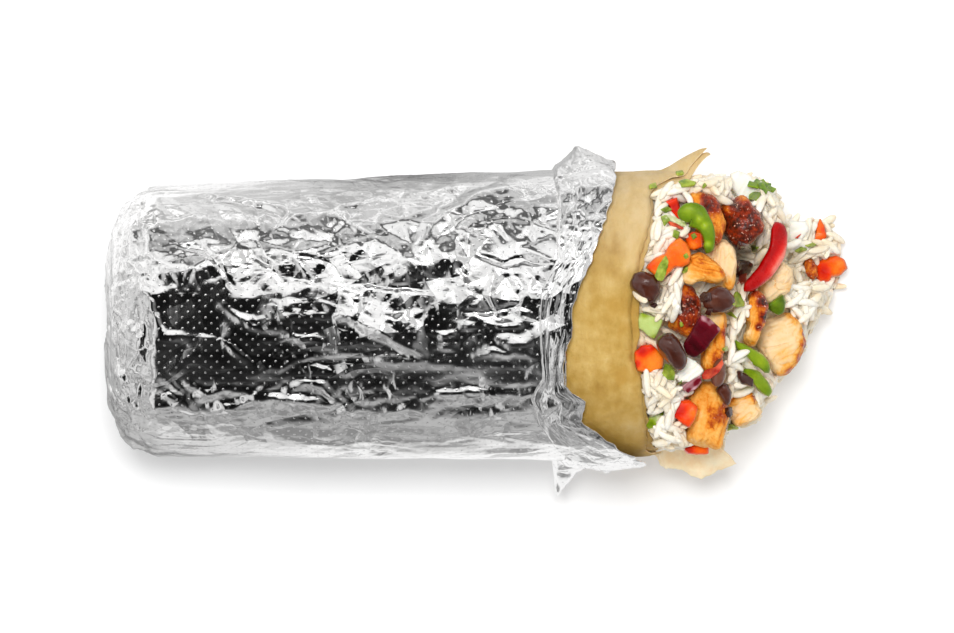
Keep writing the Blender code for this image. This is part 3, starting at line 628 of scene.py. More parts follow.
inner_rows = end_rows(FOIL_THICKNESS, 12.0, 6.0)
inner_x = np.array([row[0] for row in inner_rows] + [-80.0, -40.0, 0.0, BODY_END_X - 1.5])
inner_depth = np.array([row[1] for row in inner_rows] + [FOIL_THICKNESS] * 4)
inner = body(inner_x[:, None], angles[None, :], inner_depth[:, None] + 0.6)
shell = np.concatenate([outer, inner[::-1]])
shell_lengths = np.concatenate([lengths, lengths[-1] + 1 + np.arange(len(inner_x))])
foil_body = rolled("foil_wrapper", shell, shell_lengths, rounds)
foil_body.data.materials.append(foil_finish())
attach(foil_body, "root")
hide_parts("foil_wrap")


# ---- Foil collar ----------------------------------------------------------------------------------
# The torn end of the same sheet, peeled open and folded back over itself: finely crushed at the far
# side, a flat shiny flap on the top, and a torn tail that hangs to the table on the near side.
FOIL_RIM = (
    (0, 37), (25, 37), (45, 36), (60, 33), (75, 29.5), (90, 25.5), (105, 23), (113, 23), (121, 29),
    (131, 28), (142, 34), (156, 42), (168, 45), (180, 44), (196, 38), (225, 34), (270, 34), (315, 35),
)
FOLD_BACK = (
    (0, 20), (25, 20), (45, 21), (60, 21), (72, 20), (84, 16.5), (92, 16.2), (104, 16.4), (112, 17),
    (121, 14), (135, 16), (150, 20), (165, 24), (190, 20), (204, 18), (225, 20), (270, 21), (315, 21),
)
FOIL_TAGS = (
    # girth angle, x, reach round the girth, reach towards the folded end and the mouth, height, fullness
    (12, 27, 15, 6, 8, 3.4, 1.0), (34, 29, 12, 4, 4, 0.8, 1.0), (203, 21.6, 15, 1.7, 10, 13.5, 1.0),
    (196, 34, 14, 8, 8, 3.0, 1.0),
)


def rim_x(rim, angle):
    """Where a torn edge ends, at each girth angle."""
    return np.interp(angle % 360, [point[0] for point in rim], [point[1] for point in rim], period=360)


def pulled_out(tags, x, angle):
    """How far the torn tags of a wall stand out of it."""
    reach = np.zeros_like(x * angle)
    for tag_angle, tag_x, turn, back, ahead, height, fullness in tags:
        along_x = (x - tag_x) / np.where(x < tag_x, back, ahead)
        off = np.hypot(((angle - tag_angle + 180) % 360 - 180) / turn, along_x)
        reach = np.maximum(reach, height * np.clip(1 - off, 0, 1) ** (1 / fullness))
    return reach


def ragged(chance, step, angle):
    """Random values from -1 to 1 at every step degrees round the girth, joined by straight lines."""
    knots = np.arange(0, 361, step)
    return np.interp(angle % 360, knots, [chance.uniform(-1, 1) for _ in knots], period=360)


COLLAR_FINE, COLLAR_WIDE, COLLAR_ROWS = 0.5, 1.2, 62
FINE_TEARS, WIDE_TEARS, TEAR_DEPTH = 2.6, 9.0, 0.5
collar_angles, collar_rounds = girth_columns(COLLAR_FINE, COLLAR_WIDE, 6.0)
chance = random.Random(61)
tears = ragged(chance, FINE_TEARS, collar_angles)
bites = ragged(chance, WIDE_TEARS, collar_angles)
start = rim_x(FOLD_BACK, collar_angles) + TEAR_DEPTH * bites
finish = rim_x(FOIL_RIM, collar_angles) + 1.1 * TEAR_DEPTH * tears + TEAR_DEPTH * bites
share = np.linspace(0, 1, COLLAR_ROWS)[:, None]
cx = between(start[None, :], finish[None, :], share)
ca = np.broadcast_to(collar_angles[None, :], cx.shape)
reach = pulled_out(FOIL_TAGS, cx, ca)
under = ramp(np.abs((ca - 270 + 180) % 360 - 180), 62, 40)
smooth_flap = ramp(ca, 78, 86) * ramp(ca, 117, 112)
along_mm = between(18.0, 38.0, share[:, 0])
CRUSHES = (
    # height, seed, spacing along and round, height and width of the pinched edges, where it lies
    (0.30, 71, 2.6, 2.4, 0.6, 0.5, 1 - 0.9 * smooth_flap),
    (0.55, 73, 6.5, 6.0, 0.4, 0.8, 1 - 0.9 * smooth_flap),
    (0.55, 83, 2.2, 14.0, 0.5, 0.5, smooth_flap),
)
relief = 0.0
for height, seed, along, round_, edge, edge_width, where in CRUSHES:
    crushed = creased(seed, along, round_, along_mm, collar_rounds, GIRTH, edge, edge_width)
    relief += height * crushed * where
relief = relief * (1 - 0.7 * under)
relief += 2.0 * creased(89, 4.2, 4.0, along_mm, collar_rounds, GIRTH, 0.5, 0.6) * ramp(reach, 1.0, 4.0)
# its start is pressed into the body and its torn edge stands off it, less so underneath
start_pressed = ramp(share, 0.0, 0.07)
edge_lift = np.sin(share * math.pi / 2) ** 0.5
rise = between(-0.9, 0.5, start_pressed) + 1.1 * edge_lift * (1 - 0.8 * under)
rise = rise + relief * start_pressed + reach
half_thick = 0.275 * np.sin(share * math.pi) ** 0.35
base = body(cx, ca, 0.0)
base_normals = outward(base)
top_skin = base + base_normals * (rise + half_thick)[..., None]
low_skin = base + base_normals * (rise - half_thick - 0.15)[..., None]
shell = np.concatenate([top_skin, low_skin[::-1], top_skin[:1]])
collar_lengths = np.concatenate([along_mm, along_mm[::-1] + 30, along_mm[:1] + 60])
foil_collar = rolled("foil_collar", shell, collar_lengths, collar_rounds)
foil_collar.data.materials.append(bpy.data.materials["embossed_foil"])
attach(foil_collar, "root")


# ---- Tortilla -------------------------------------------------------------------------------------
# A soft wheat flatbread rolled in several turns round the filling. Its edges part in thin ragged
# lips round the mouth, with a pointed corner on the far side and a torn flap on the near side.
OUTER_TURN, OUTER_INSET = 1.3, 1.35
INNER_TURN, INNER_INSET = 1.2, 2.75
TORTILLA_RIM = (
    (0, 57), (4, 62), (8, 58), (15, 53), (25, 49), (36, 46), (50, 46), (60, 45), (72, 43), (90, 41),
    (105, 41), (113, 43.5), (135, 44.6), (165, 45), (180, 48), (190, 50), (200, 54), (208, 56), (222, 58),
    (245, 60), (270, 60), (300, 59), (330, 57),
)
TORTILLA_TAGS = ((4, 62, 8, 12, 12, 7.0, 1.2),)
FLAP_ROOT_X, FLAP_ROOT_Y, FLAP_ROOT_Z, FLAP_DROP = (46.0, 62.0), -29.0, 33.0, 7.5
FLAP_STEPS, FLAP_ROWS = 74, 26
FLAP_EDGE = (
    (45.5, -36.2), (48.5, -36.8), (49.6, -39.2), (51, -39.9), (54, -40.2), (57.5, -41.8),
    (60.5, -42.8), (63.5, -41.4), (66, -40.2), (70.2, -38.8), (68.6, -37), (66.8, -35.8),
    (64, -34),
)


def tortilla_wall(name, rim_shift, inset, wall, first_x, seed, tear):
    """One turn of the flatbread, from first_x to its ragged lip; shut if it starts at the folded end."""
    chance = random.Random(seed)
    turns, arcs = girth_columns(0.8, 1.3, 3.0)
    nicks = ragged(chance, 3.0, turns)
    swings = ragged(chance, 14.0, turns)
    lip = rim_x(TORTILLA_RIM, turns) + rim_shift + tear * (0.5 * nicks + swings)
    steps = np.linspace(0, 1, 84) ** 0.9
    x = between(first_x, lip[None, :], steps[:, None])
    angle = np.broadcast_to(turns[None, :], x.shape)
    flare = pulled_out(TORTILLA_TAGS, x, angle)
    to_lip = lip[None, :] - x
    along = np.linspace(first_x, 62.0, len(steps))
    creases = 0.16 * creased(seed + 1, 9.0, 7.0, along, arcs, arcs[-1])
    creases += 0.07 * creased(seed + 2, 3.2, 3.0, along, arcs, arcs[-1])
    curl = 0.5 * swings[None, :] * np.clip(1 - to_lip / 7, 0, 1)
    under_foil = 1.5 * (1 - ramp(x, 20.0, 32.0))
    mid = inset + wall / 2 + under_foil - flare - creases - curl
    half_wall = wall / 2 * between(0.25, 1.0, np.sqrt(np.clip(to_lip / 2.2, 0, 1)))
    top, low = body(x, angle, mid - half_wall), body(x, angle, mid + half_wall)
    shell = np.concatenate([top, low[::-1]])
    shell_lengths = np.concatenate([along, 130 - along[::-1]])
    if first_x < FOLDED_END_X + END_ROUNDING + 1:
        caps = []
        for depth, order in ((inset + 1.5, 1), (inset + 1.5 + wall, -1)):
            cap = np.array(end_rows(depth, 6.0, 3.5)[::order])
            caps.append((body(cap[:, :1], turns[None, :], cap[:, 1:2]), cap[:, 2]))
        shell = np.concatenate([caps[0][0], shell, caps[1][0]])
        shell_lengths = np.concatenate([caps[0][1] - 140, shell_lengths, 300 - caps[1][1]])
    else:
        shell = np.concatenate([shell, shell[:1]])
        shell_lengths = np.concatenate([shell_lengths, [260.0]])
    return rolled(name, shell, shell_lengths, arcs)


def bread_finish():
    """Steamed flatbread: cream and tan mottling, toasted ochre spots, painted shade towards the near side,
    paler towards the far edge, and fine pores.
    """
    bread = Finish("tortilla_bread", Specular_IOR_Level=0.25, Subsurface_Weight=0.12,
                   Subsurface_Scale=0.004,
                   Subsurface_Radius=(1.0, 0.6, 0.3))
    inner = bread.painted("inner")
    wide = bread.speckle(15.0, 3.0, 0.55)
    mid = bread.speckle(4.5, 4.0, 0.62, shift=0.7)
    spots = bread.speckle(7.5, 2.0, 0.5, shift=0.2)
    streaks = bread.speckle(7.0, 4.0, 0.65, stretch=(2.6, 1.0, 1.0), shift=0.5)
    tone = wide * 0.45 + mid * 0.33 + streaks * 0.22
    colour = bread.coloured(tone, (0.36, (0.34, 0.19, 0.035)), (0.46, (0.45, 0.28, 0.066)),
                            (0.54, (0.55, 0.37, 0.12)), (0.64, (0.66, 0.50, 0.25)))
    toasted = spots.between(0.58, 0.70, 0.0, 0.45)
    colour = bread.mix(toasted, colour, (0.46, 0.26, 0.05))
    across = bread.apart(bread.place(), "Y")
    # painted shade: the outside darkens towards the near side, away from the light
    shaded_near_side = across.between(-0.012, -0.034, 0.0, 0.6)
    colour = bread.mix(shaded_near_side, colour, (0.36, 0.21, 0.036))
    # paler towards the far edge, in streaks
    far_edge = (across + (wide - 0.5) * 0.03).between(0.004, 0.034, 0.0, 0.9)
    colour = bread.mix(far_edge * streaks.between(0.3, 0.7, 0.6, 1.0), colour, (0.62, 0.47, 0.26))
    pale = bread.coloured(mid, (0.3, (0.94, 0.66, 0.36)), (0.6, (1.0, 0.84, 0.58)))
    colour = bread.mix(inner, colour, pale)
    pores = bread.speckle(0.9, 3.0, 0.6)
    relief = bread.bumped(streaks, 0.35, bread.bumped(mid, 0.7))
    relief = bread.bumped(pores, 0.12, relief)
    return bread.set(Base_Color=colour, Roughness=mid.between(0.3, 0.7, 0.5, 0.75), Normal=relief)


def shaped(piece, points):
    """Puts a piece's points at the given places in mm."""
    place = (points + np.array(ORIGIN)) * MM
    place[:, 2] = np.maximum(place[:, 2], 0.0)
    piece.data.vertices.foreach_set("co", place.ravel())
    piece.data.update()


def spots_of(piece):
    """Places in mm and outward directions of a piece's points."""
    points, ways = np.empty(len(piece.data.vertices) * 3), np.empty(len(piece.data.vertices) * 3)
    piece.data.vertices.foreach_get("co", points)
    piece.data.vertex_normals.foreach_get("vector", ways)
    return points.reshape(-1, 3) / MM - np.array(ORIGIN), ways.reshape(-1, 3)


def uneven(points, size, seed, heading=None):
    """Cloudy values from -1 to 1, size mm across, or (long, wide, deep) along a heading in degrees."""
    if heading is not None:
        turn = math.radians(heading)
        along = points[:, 0] * math.cos(turn) + points[:, 1] * math.sin(turn)
        aside = points[:, 1] * math.cos(turn) - points[:, 0] * math.sin(turn)
        points = np.stack([along, aside, points[:, 2]], axis=1)
    return np.array([noise.noise(Vector(point)) for point in points / np.array(size) + 7.31 * seed])


def painted(piece, name, values):
    """Stores one value from 0 to 1 at each point of a piece."""
    piece.data.attributes.new(name, "FLOAT", "POINT").data.foreach_set("value", np.clip(values, 0, 1))


tortilla_outer = tortilla_wall("tortilla_outer_turn", 0.0, OUTER_INSET, OUTER_TURN,
                               FOLDED_END_X + END_ROUNDING, 90, 0.5)
tortilla_inner = tortilla_wall("tortilla_inner_turn", 1.3, INNER_INSET, INNER_TURN, 12.0, 97, 0.8)

# the torn flap, from its root on the roll out to its ragged edge
edge_run = np.concatenate([[0], np.cumsum([math.dist(a, b) for a, b in zip(FLAP_EDGE, FLAP_EDGE[1:])])])
edge_steps = np.linspace(0, edge_run[-1], FLAP_STEPS)
edge_x, edge_y = (np.interp(edge_steps, edge_run, [point[axis] for point in FLAP_EDGE]) for axis in (0, 1))
chance = random.Random(88)
edge_y += np.convolve([chance.uniform(-0.5, 0.5) for _ in range(FLAP_STEPS + 2)], (0.3, 0.4, 0.3), "valid")
share = np.linspace(0, 1, FLAP_ROWS)[:, None]
flap_x = between(np.linspace(*FLAP_ROOT_X, FLAP_STEPS)[None, :], edge_x[None, :], share)
flap_y = between(FLAP_ROOT_Y, edge_y[None, :], share)
flat = np.stack([flap_x, flap_y, 0 * flap_x], axis=-1)
ripple = uneven(flat.reshape(-1, 3), 6.0, 17).reshape(flap_x.shape)
flap_z = FLAP_ROOT_Z - FLAP_DROP * share ** 1.5 + 1.3 * ripple * share
thick = 0.25 + 0.55 * np.sqrt(np.minimum(1 - share, 0.12) / 0.12)
top = np.stack([flap_x, flap_y, flap_z + thick], axis=-1)
low = np.stack([flap_x, flap_y, flap_z - thick], axis=-1)
loop = np.concatenate([top, low[:, ::-1], top[:, :1]], axis=1)
ends = [0.5 * (loop[end] + np.concatenate([low[end], top[end][::-1], low[end][:1]])) for end in (0, -1)]
loop = np.concatenate([ends[0][None], loop, ends[1][None]])
tortilla_flap = rolled("tortilla_flap", loop, np.arange(len(loop)) * 0.5, np.arange(loop.shape[1]) * 0.5)

bread = bread_finish()
for piece in (tortilla_outer, tortilla_inner, tortilla_flap):
    points, ways = spots_of(piece)
    from_axis = np.stack([points[:, 1] - SHIFT, points[:, 2] - MID_HEIGHT], axis=1)
    from_axis /= np.linalg.norm(from_axis, axis=1, keepdims=True)
    facing_in = ramp(-(ways[:, 1:] * from_axis).sum(axis=1), -0.25, 0.35) * ramp(points[:, 0], 36.0, 44.0)
    painted(piece, "inner", np.ones(len(points)) if piece is tortilla_flap else facing_in)
    piece.data.materials.append(bread)
    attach(piece, "root")
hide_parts("tortilla")


# ---- Chicken --------------------------------------------------------------------------------------
# Grilled breast meat cut into chunks: pale where it was cut across its fibres, golden where it was
# seared and charred in spots. The chunks are tossed with the rice and lie loose in it.
CHICKEN = (
    # node, outline as seen from above, squareness, browning, fibre heading, (x, y, radius, browning) spots
    ("chicken_1", ((64, 22), (67, 21.8), (69.6, 19.6), (70, 15), (69.2, 10.5), (68.2, 8.2), (66, 8.4),
                   (62, 12), (61, 18)), 3.4, 0.06, 80, ((68, 8.6, 2.6, 0.42), (69.8, 12, 1, 0.25))),
    ("chicken_2", ((54.6, 9.8), (56.2, 10.2), (58.6, 8.4), (60.2, 5.5), (60.6, 1), (60, -2.5),
                   (57.5, -5.5), (54.5, -3.8), (51, -1.2), (51.2, 0.4), (53.6, 1.4), (54.9, 3.2),
                   (54.4, 6.5)), 3.4, 0.74, 80, ((55.2, 8.6, 2, 0.50), (55.8, -4.2, 2.2, 0.50),
                                                 (52, -0.6, 2, 0.42), (57.5, 4, 2.4, 0.84))),
    ("chicken_3", ((61.5, 2.6), (64.5, 3.2), (66.9, 3), (67.2, -2), (66.6, -7), (65.8, -10.5),
                   (65, -13.8), (62, -14.8), (60.2, -12.8), (60, -10), (61, -5), (61, -1)), 3.8, 0.44, 78,
     ((66.8, -3, 1.6, 0.66), (65.2, -11.5, 2.4, 0.78), (63.2, 0.6, 2.8, 0.06), (62, -11, 1.6, 0.34))),
    ("chicken_4", ((72.6, 7.6), (74.8, 8.8), (77, 7.2), (78.2, 4), (77.8, 0), (76, -3), (75.2, -7.4),
                   (72.5, -7.2), (71, -4.2), (72.6, -1.6), (71.6, 1), (72.8, 4)), 3.4, 0.36, 82,
     ((76.9, 5.2, 2, 0.93), (77.2, 1.2, 1.7, 0.97), (75.6, -1.5, 1.2, 0.9), (74.2, 8, 1.7, 0.74),
      (72.6, -3, 2, 0.12))),
    ("chicken_5", ((65.4, 31), (68, 32), (70.4, 33.4), (71.9, 34), (74, 32), (76.6, 28.5), (77.3, 26),
                   (76.9, 24), (75, 22), (72, 20), (70, 19.7), (67.5, 21.4), (66.2, 23), (65.8, 27)), 4.2,
     0.82, 60, ((71.4, 33.8, 2, 0.46), (66.2, 31.2, 1.6, 0.58), (77, 26, 1.2, 0.64))),
    ("chicken_6", ((57, 34.2), (60, 35.2), (63.2, 34.8), (64.8, 32), (65.8, 29), (66.5, 26), (66.2, 22.5),
                   (65, 20.6), (62.6, 20.2), (59.5, 22), (57.5, 27)), 3.8, 0.50, 70,
     ((62.6, 31, 2.6, 0.85), (61.4, 33.4, 1.6, 0.78), (64, 22, 1.6, 0.60), (58.5, 33.4, 1.8, 0.40),
      (65.6, 27.5, 1.4, 0.42))),
    ("chicken_7", ((76, 5.6), (78, 4.6), (81, 5.4), (84, 8), (85.6, 11), (84.8, 14.4), (82, 16.2),
                   (79.6, 15.6), (77, 12.8), (75.2, 10)), 3.2, 0.03, 30, ((76.2, 9, 1.6, 0.22),
                                                                          (84.6, 8.8, 1.5, 0.20))),
    ("chicken_8", ((77.6, 0.6), (80.5, 1.6), (83.6, 2.2), (86.5, 0.2), (88, -3), (88.4, -6.4),
                   (87, -10.4), (84.6, -13.8), (82, -15.4), (79.4, -13.8), (77, -10.6), (75.4, -7.2),
                   (75.2, -4.4), (76.2, -1.6)), 3.2, 0.05, 20, ((88.6, -3, 1.9, 0.66),
                                                                (88.6, -6.6, 2, 0.74),
                                                                (87.4, -10.4, 2.2, 0.62),
                                                                (84.4, -14, 2.3, 0.60),
                                                                (81, -15.4, 1.7, 0.50),
                                                                (86.4, 0.6, 1.8, 0.42),
                                                                (84, 2.2, 1.6, 0.36),
                                                                (82, -9, 2.4, 0.20))),
    ("chicken_9", ((67.2, -20.6), (70, -19.4), (72.4, -19), (74.6, -19.6), (75.4, -21.8), (76.8, -24.6),
                   (75.4, -26.6), (73, -28), (70, -28.8), (68, -27.6), (67, -24)), 3.6, 0.09, 30,
     ((72.2, -19.2, 2, 0.56), (74.8, -20.6, 1.4, 0.62), (68.4, -21.6, 1.6, 0.46), (71, -23, 2.2, 0.14),
      (70.6, -27.4, 2, 0.26))),
    ("chicken_10", ((56.4, -22), (58.2, -18.2), (60.4, -16.2), (63, -16.4), (64.8, -18), (66.6, -20.6),
                    (67.5, -24), (67.4, -28), (66.2, -31.5), (65.6, -34.8), (62, -34.4), (58, -33.2),
                    (55.6, -31.4), (55.6, -27)), 3.8, 0.32, 70, ((65, -25.6, 2.8, 0.62),
                                                                 (62.6, -28.4, 1.3, 0.72),
                                                                 (62.6, -24, 1.6, 0.50),
                                                                 (60.6, -19.2, 2.4, 0.43),
                                                                 (60, -31, 3.6, 0.26),
                                                                 (66.8, -22.5, 1.2, 0.60))),
    ("chicken_11", ((54.8, 12.4), (56.4, 15.4), (57.2, 18), (60, 18.6), (62.4, 17.6), (64.6, 16),
                    (66.4, 13.8), (67.2, 11.6), (66.2, 10.4), (63, 10), (60, 10.4), (57, 9.8),
                    (55, 10.6)), 3.8, 0.40, -14, ((55.6, 12, 2.2, 0.08), (58, 10.6, 2.2, 0.20),
                                                  (60.6, 16.2, 1.8, 0.52), (66.4, 13, 1, 0.52))),
    ("chicken_12", ((88.2, 17), (90, 16.8), (91.6, 15), (91.8, 12), (90, 11.2), (88.4, 12.6), (88, 15)),
     3.2, 0.58, 60, ((89, 12.4, 1.2, 0.72),)),
)
RAISED = {"chicken_1": 3.0, "chicken_2": 1.5, "chicken_3": 1.5}
PLAN_MIDDLE = Vector((-0.27, 1.215))


def plan(x, y, z):
    """Where a place that is drawn level with the burrito's middle lies at height z, as seen from above."""
    share = 1 - (z - MID_HEIGHT) * MM / CAMERA_HEIGHT
    return PLAN_MIDDLE.x + (x - PLAN_MIDDLE.x) * share, PLAN_MIDDLE.y + (y - PLAN_MIDDLE.y) * share


def lie(node):
    """How a loose piece lies: height at the origin and slopes along X and Y, in mm, and half its depth."""
    points = np.empty(len(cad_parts[node].data.vertices) * 3)
    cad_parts[node].data.vertices.foreach_get("co", points)
    points = np.unique((points.reshape(-1, 3) / MM - np.array(ORIGIN)).round(2), axis=0)
    level = np.c_[np.ones(len(points)), points[:, :2]]
    bed = np.linalg.lstsq(level, points[:, 2], rcond=None)[0]
    return bed, np.abs(points[:, 2] - level @ bed).max()


def lump(name, outline, bed, half_depth, squareness, segments=80, rings=40, corner=1.0):
    """A chunk of the given outline and depth, from a ball whose girth is pulled out to the outline."""
    bpy.ops.mesh.primitive_uv_sphere_add(segments=segments, ring_count=rings, radius=1)
    piece = bpy.context.object
    piece.name = piece.data.name = name
    ball = np.empty(len(piece.data.vertices) * 3)
    piece.data.vertices.foreach_get("co", ball)
    ball = ball.reshape(-1, 3)
    middle = np.mean(outline, axis=0)
    height = bed @ (1, *plan(*middle, 60))
    outline = np.array([plan(x, y, height) for x, y in outline])
    middle = (outline.min(0) + outline.max(0)) / 2
    turns = np.linspace(-math.pi, math.pi, 241)
    reach = np.zeros(len(turns))
    for (ax, ay), (bx, by) in zip(outline - middle, np.roll(outline, -1, axis=0) - middle):
        wide = np.cos(turns) * (by - ay) - np.sin(turns) * (bx - ax)
        with np.errstate(divide="ignore", invalid="ignore"):
            far = (ax * by - ay * bx) / wide
            share = (np.sin(turns) * far - ay) / (by - ay)
            if abs(bx - ax) > abs(by - ay):
                share = (np.cos(turns) * far - ax) / (bx - ax)
        hit = (far > 0) & (share > -1e-6) & (share < 1 + 1e-6)
        reach = np.where(hit, np.maximum(reach, far), reach)
    spread = np.exp(-0.5 * (np.arange(-12, 13) / (3.0 * corner)) ** 2)
    reach = np.convolve(np.concatenate([reach[-13:-1], reach, reach[1:13]]), spread / spread.sum(), "valid")
    fine = np.linspace(0, math.pi, 400)
    out = np.abs(np.sin(fine)) ** (2 / squareness)
    up = signed_power(np.cos(fine), 2 / squareness)
    width = (np.ptp(outline[:, 0]) + np.ptp(outline[:, 1])) / 4
    arc = np.concatenate([[0], np.cumsum(np.hypot(np.diff(out) * width, np.diff(up) * half_depth))])
    share = np.arccos(np.clip(ball[:, 2], -1, 1)) / math.pi * arc[-1]
    turn = np.arctan2(ball[:, 1], ball[:, 0])
    far = np.interp(share, arc, out) * np.interp(turn, turns, reach)
    plan_points = np.stack([middle[0] + far * np.cos(turn), middle[1] + far * np.sin(turn)], axis=1)
    heights = bed[0] + plan_points @ bed[1:] + half_depth * np.interp(share, arc, up)
    points = np.column_stack([plan_points, heights])
    shaped(piece, points)
    bpy.ops.object.shade_smooth()
    bpy.ops.object.select_all(action="DESELECT")
    return piece


def patched(points, base, spots):
    """A value that is base all over and changes towards each spot's own: (x, y, radius, value)."""
    value = np.full(len(points), float(base))
    for x, y, radius, level in spots:
        x, y = plan(x, y, float(points[:, 2].mean()))
        near = np.exp(-(np.hypot(points[:, 0] - x, points[:, 1] - y) / radius) ** 2.6)
        value += (level - value) * near
    return value


def chicken_finish():
    """Seared meat: cream flesh, golden and red-brown browning and black char, moist, with fine fibres,
    painted shade in its clefts and painted glints on its glaze.
    """
    meat = Finish("grilled_chicken", Specular_IOR_Level=0.20, Coat_Roughness=0.08,
                  Subsurface_Weight=0.08, Subsurface_Scale=0.002,
                  Subsurface_Radius=(1.0, 0.45, 0.2))
    browned = meat.painted("browned")
    cleft = meat.painted("cleft")
    wide = meat.speckle(2.6, 4.0, 0.62)
    fine = meat.speckle(0.8, 3.0, 0.65, shift=0.4)
    grit = meat.speckle(0.34, 2.0, 0.5, shift=0.9)
    uneven_sear = browned * 0.9 + 0.14
    # painted shade: the flesh is browner in its clefts and between its fibres
    level = browned + ((wide - 0.5) * 0.9 + (fine - 0.5) * 0.7) * uneven_sear + cleft * 0.14
    colour = meat.coloured(level, (0.0, (0.87, 0.66, 0.40)), (0.14, (0.85, 0.57, 0.28)),
                           (0.30, (0.84, 0.43, 0.095)), (0.46, (0.74, 0.25, 0.02)),
                           (0.60, (0.48, 0.09, 0.005)), (0.74, (0.27, 0.022, 0.003)),
                           (0.88, (0.10, 0.010, 0.002)), (1.0, (0.015, 0.005, 0.003)))
    glazed = browned.between(0.50, 0.74)
    # painted glints: small pale pink specks on the glazed, seared parts
    painted_glints = meat.speckle(0.55, 2.0, 0.6, shift=1.7).between(0.62, 0.70) * browned.between(0.45, 0.70)
    colour = meat.mix(painted_glints * 0.75, colour, (0.90, 0.52, 0.38))
    relief = meat.bumped(wide, 0.5)
    relief = meat.bumped(fine * (0.4 + glazed), 0.26, relief)
    relief = meat.bumped(grit * glazed, 0.16, relief)
    wet = browned.between(0.35, 0.72, 0.0, 0.6)
    return meat.set(Base_Color=colour, Roughness=fine.between(0.3, 0.7, 0.35, 0.6), Coat_Weight=wet,
                    Normal=relief)


chicken = chicken_finish()
loose_pieces = []
for seed, (node, outline, squareness, browning, heading, spots) in enumerate(CHICKEN):
    bed, half_depth = lie(node)
    bed[0] += RAISED.get(node, 0.0)
    piece = lump("loose_" + node, outline, bed, half_depth, squareness, 112, 56)
    points, ways = spots_of(piece)
    browned = patched(points, browning, spots)
    seared = ramp(browned, 0.45, 0.75)
    strands = uneven(points, (5.0, 0.7, 1.0), seed, heading)
    split = np.abs(uneven(points, (5.0, 1.8, 2.2), seed + 20, heading))
    cleft = np.clip(1 - split / 0.09, 0, 1) * (1 - seared)
    height = 0.8 * uneven(points, 4.2, seed + 40) + 0.24 * strands * (1 - 0.6 * seared) - 0.40 * cleft
    height += 0.16 * uneven(points, 0.9, seed + 60) * (0.5 + 0.5 * seared)
    shaped(piece, points + ways * (height - 0.15)[:, None])
    painted(piece, "browned", browned)
    # painted shade for the clefts and for the dips between the fibres
    painted(piece, "cleft", 0.8 * cleft + 0.9 * np.clip(-strands, 0, 1))
    piece.data.materials.append(chicken)
    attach(piece, "root")
    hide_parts(node)
    loose_pieces.append(piece)


# ---- Black beans ----------------------------------------------------------------------------------
# Boiled beans with a thin dark skin that has a satin shine. Some are split, so bits of skin and dark mash
# lie beside them. More dark bits lie in deep hollows of the heap as painted shade.
BEANS = (
    # node, outline as seen from above, strength of the painted sheen
    ("black_bean_1", ((40.8, 10.6), (42, 13), (44.6, 13.5), (47.6, 12.2), (49.4, 9.8), (49.4, 7.4),
                      (47.6, 5), (45.2, 5), (43, 7.2), (41.2, 8.8)), 0.10),
    ("black_bean_2", ((60.6, 6.4), (62, 8.4), (64.6, 9.6), (67.4, 8.6), (69.4, 5.8), (69, 3.4),
                      (66.4, 2.2), (63.4, 2.2), (61, 4)), 0.16),
    ("black_bean_3", ((47.8, -5.4), (49.6, -3.6), (52, -3), (54.6, -5.6), (56.4, -9), (56.4, -11.6),
                      (55, -13.6), (53.2, -13.4), (50.6, -10.4), (48.4, -7.6)), 0.05),
    ("black_bean_4", ((65.2, -9.6), (66.6, -11.4), (67, -14), (66.2, -16.8), (64.4, -18.2), (62.8, -16.8),
                      (63, -13.4), (63.8, -10.8)), 0.35),
    ("black_bean_5", ((64, -18.6), (65.4, -16.6), (67.2, -16.8), (68.7, -19.2), (68.4, -22), (67.2, -23),
                      (65.4, -21.2)), 0.15),
)
# dark bits beside the split beans, and dark bits laid in hollows of the heap as painted shade
BEAN_BITS_AND_HOLLOW_SHADE = (
    # in a hollow: painted shade
    ((59.6, 6.6), (60.8, 7.8), (62.4, 7.8), (62.6, 5.4), (60.4, 4.8)),
    ((61, 2), (61.8, 3.6), (63.2, 3.4), (62.8, 1.8)),
    ((45.8, 5.2), (47, 5.4), (48.4, 4.4), (47.6, 3.4), (46.2, 3.9)),
    # in hollows: painted shade
    ((69.9, 18.9), (70.2, 21.2), (74.4, 20.8), (75.2, 19.4), (72, 19)),
    ((69.8, 16.6), (70, 12.6), (71.6, 11.6), (73.8, 13), (75.4, 15.4), (73, 16.6)),
    ((70.2, -13.4), (72.2, -14.2), (74.6, -15.8), (74.2, -18), (71.6, -17), (70.4, -15.6)),
    ((67, -23.4), (68.2, -23.2), (68.6, -25.2), (67.6, -26.2), (67, -25)),
)


def bean_finish():
    """Thin satin skin, near black, with a painted brown grey sheen, over slightly dented mash."""
    skin = Finish("bean_skin", Roughness=0.26, Coat_Weight=0.45, Coat_Roughness=0.07,
                  Specular_IOR_Level=0.45)
    pale = skin.painted("bloom")
    mottle = skin.speckle(2.4, 3.0, 0.6)
    fine = skin.speckle(0.7, 2.0)
    # pale carries the painted sheen, which lightens the skin towards brown grey
    colour = skin.coloured(mottle * 0.5 + pale, (0.1, (0.022, 0.004, 0.002)), (0.45, (0.075, 0.017, 0.008)),
                           (0.9, (0.20, 0.080, 0.050)))
    return skin.set(Base_Color=colour, Normal=skin.bumped(fine, 0.06, skin.bumped(mottle, 0.18)))


bean_skin = bean_finish()
for seed, (node, outline, bloom) in enumerate(BEANS):
    bed, half_depth = lie(node)
    piece = lump("loose_" + node, outline, bed, half_depth, 2.15, 64, 32, 1.6)
    points, ways = spots_of(piece)
    wrinkled = 0.16 * uneven(points, (5.0, 1.4, 2.0), seed, -35) + 0.22 * uneven(points, 3.2, seed + 9)
    shaped(piece, points + ways * wrinkled[:, None])
    # painted sheen: over the whole bean, and stronger where it faces up
    painted(piece, "bloom", bloom + 0.5 * np.clip(ways[:, 2], 0, 1) ** 3 * bloom)
    piece.data.materials.append(bean_skin)
    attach(piece, "root")
    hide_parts(node)
    loose_pieces.append(piece)


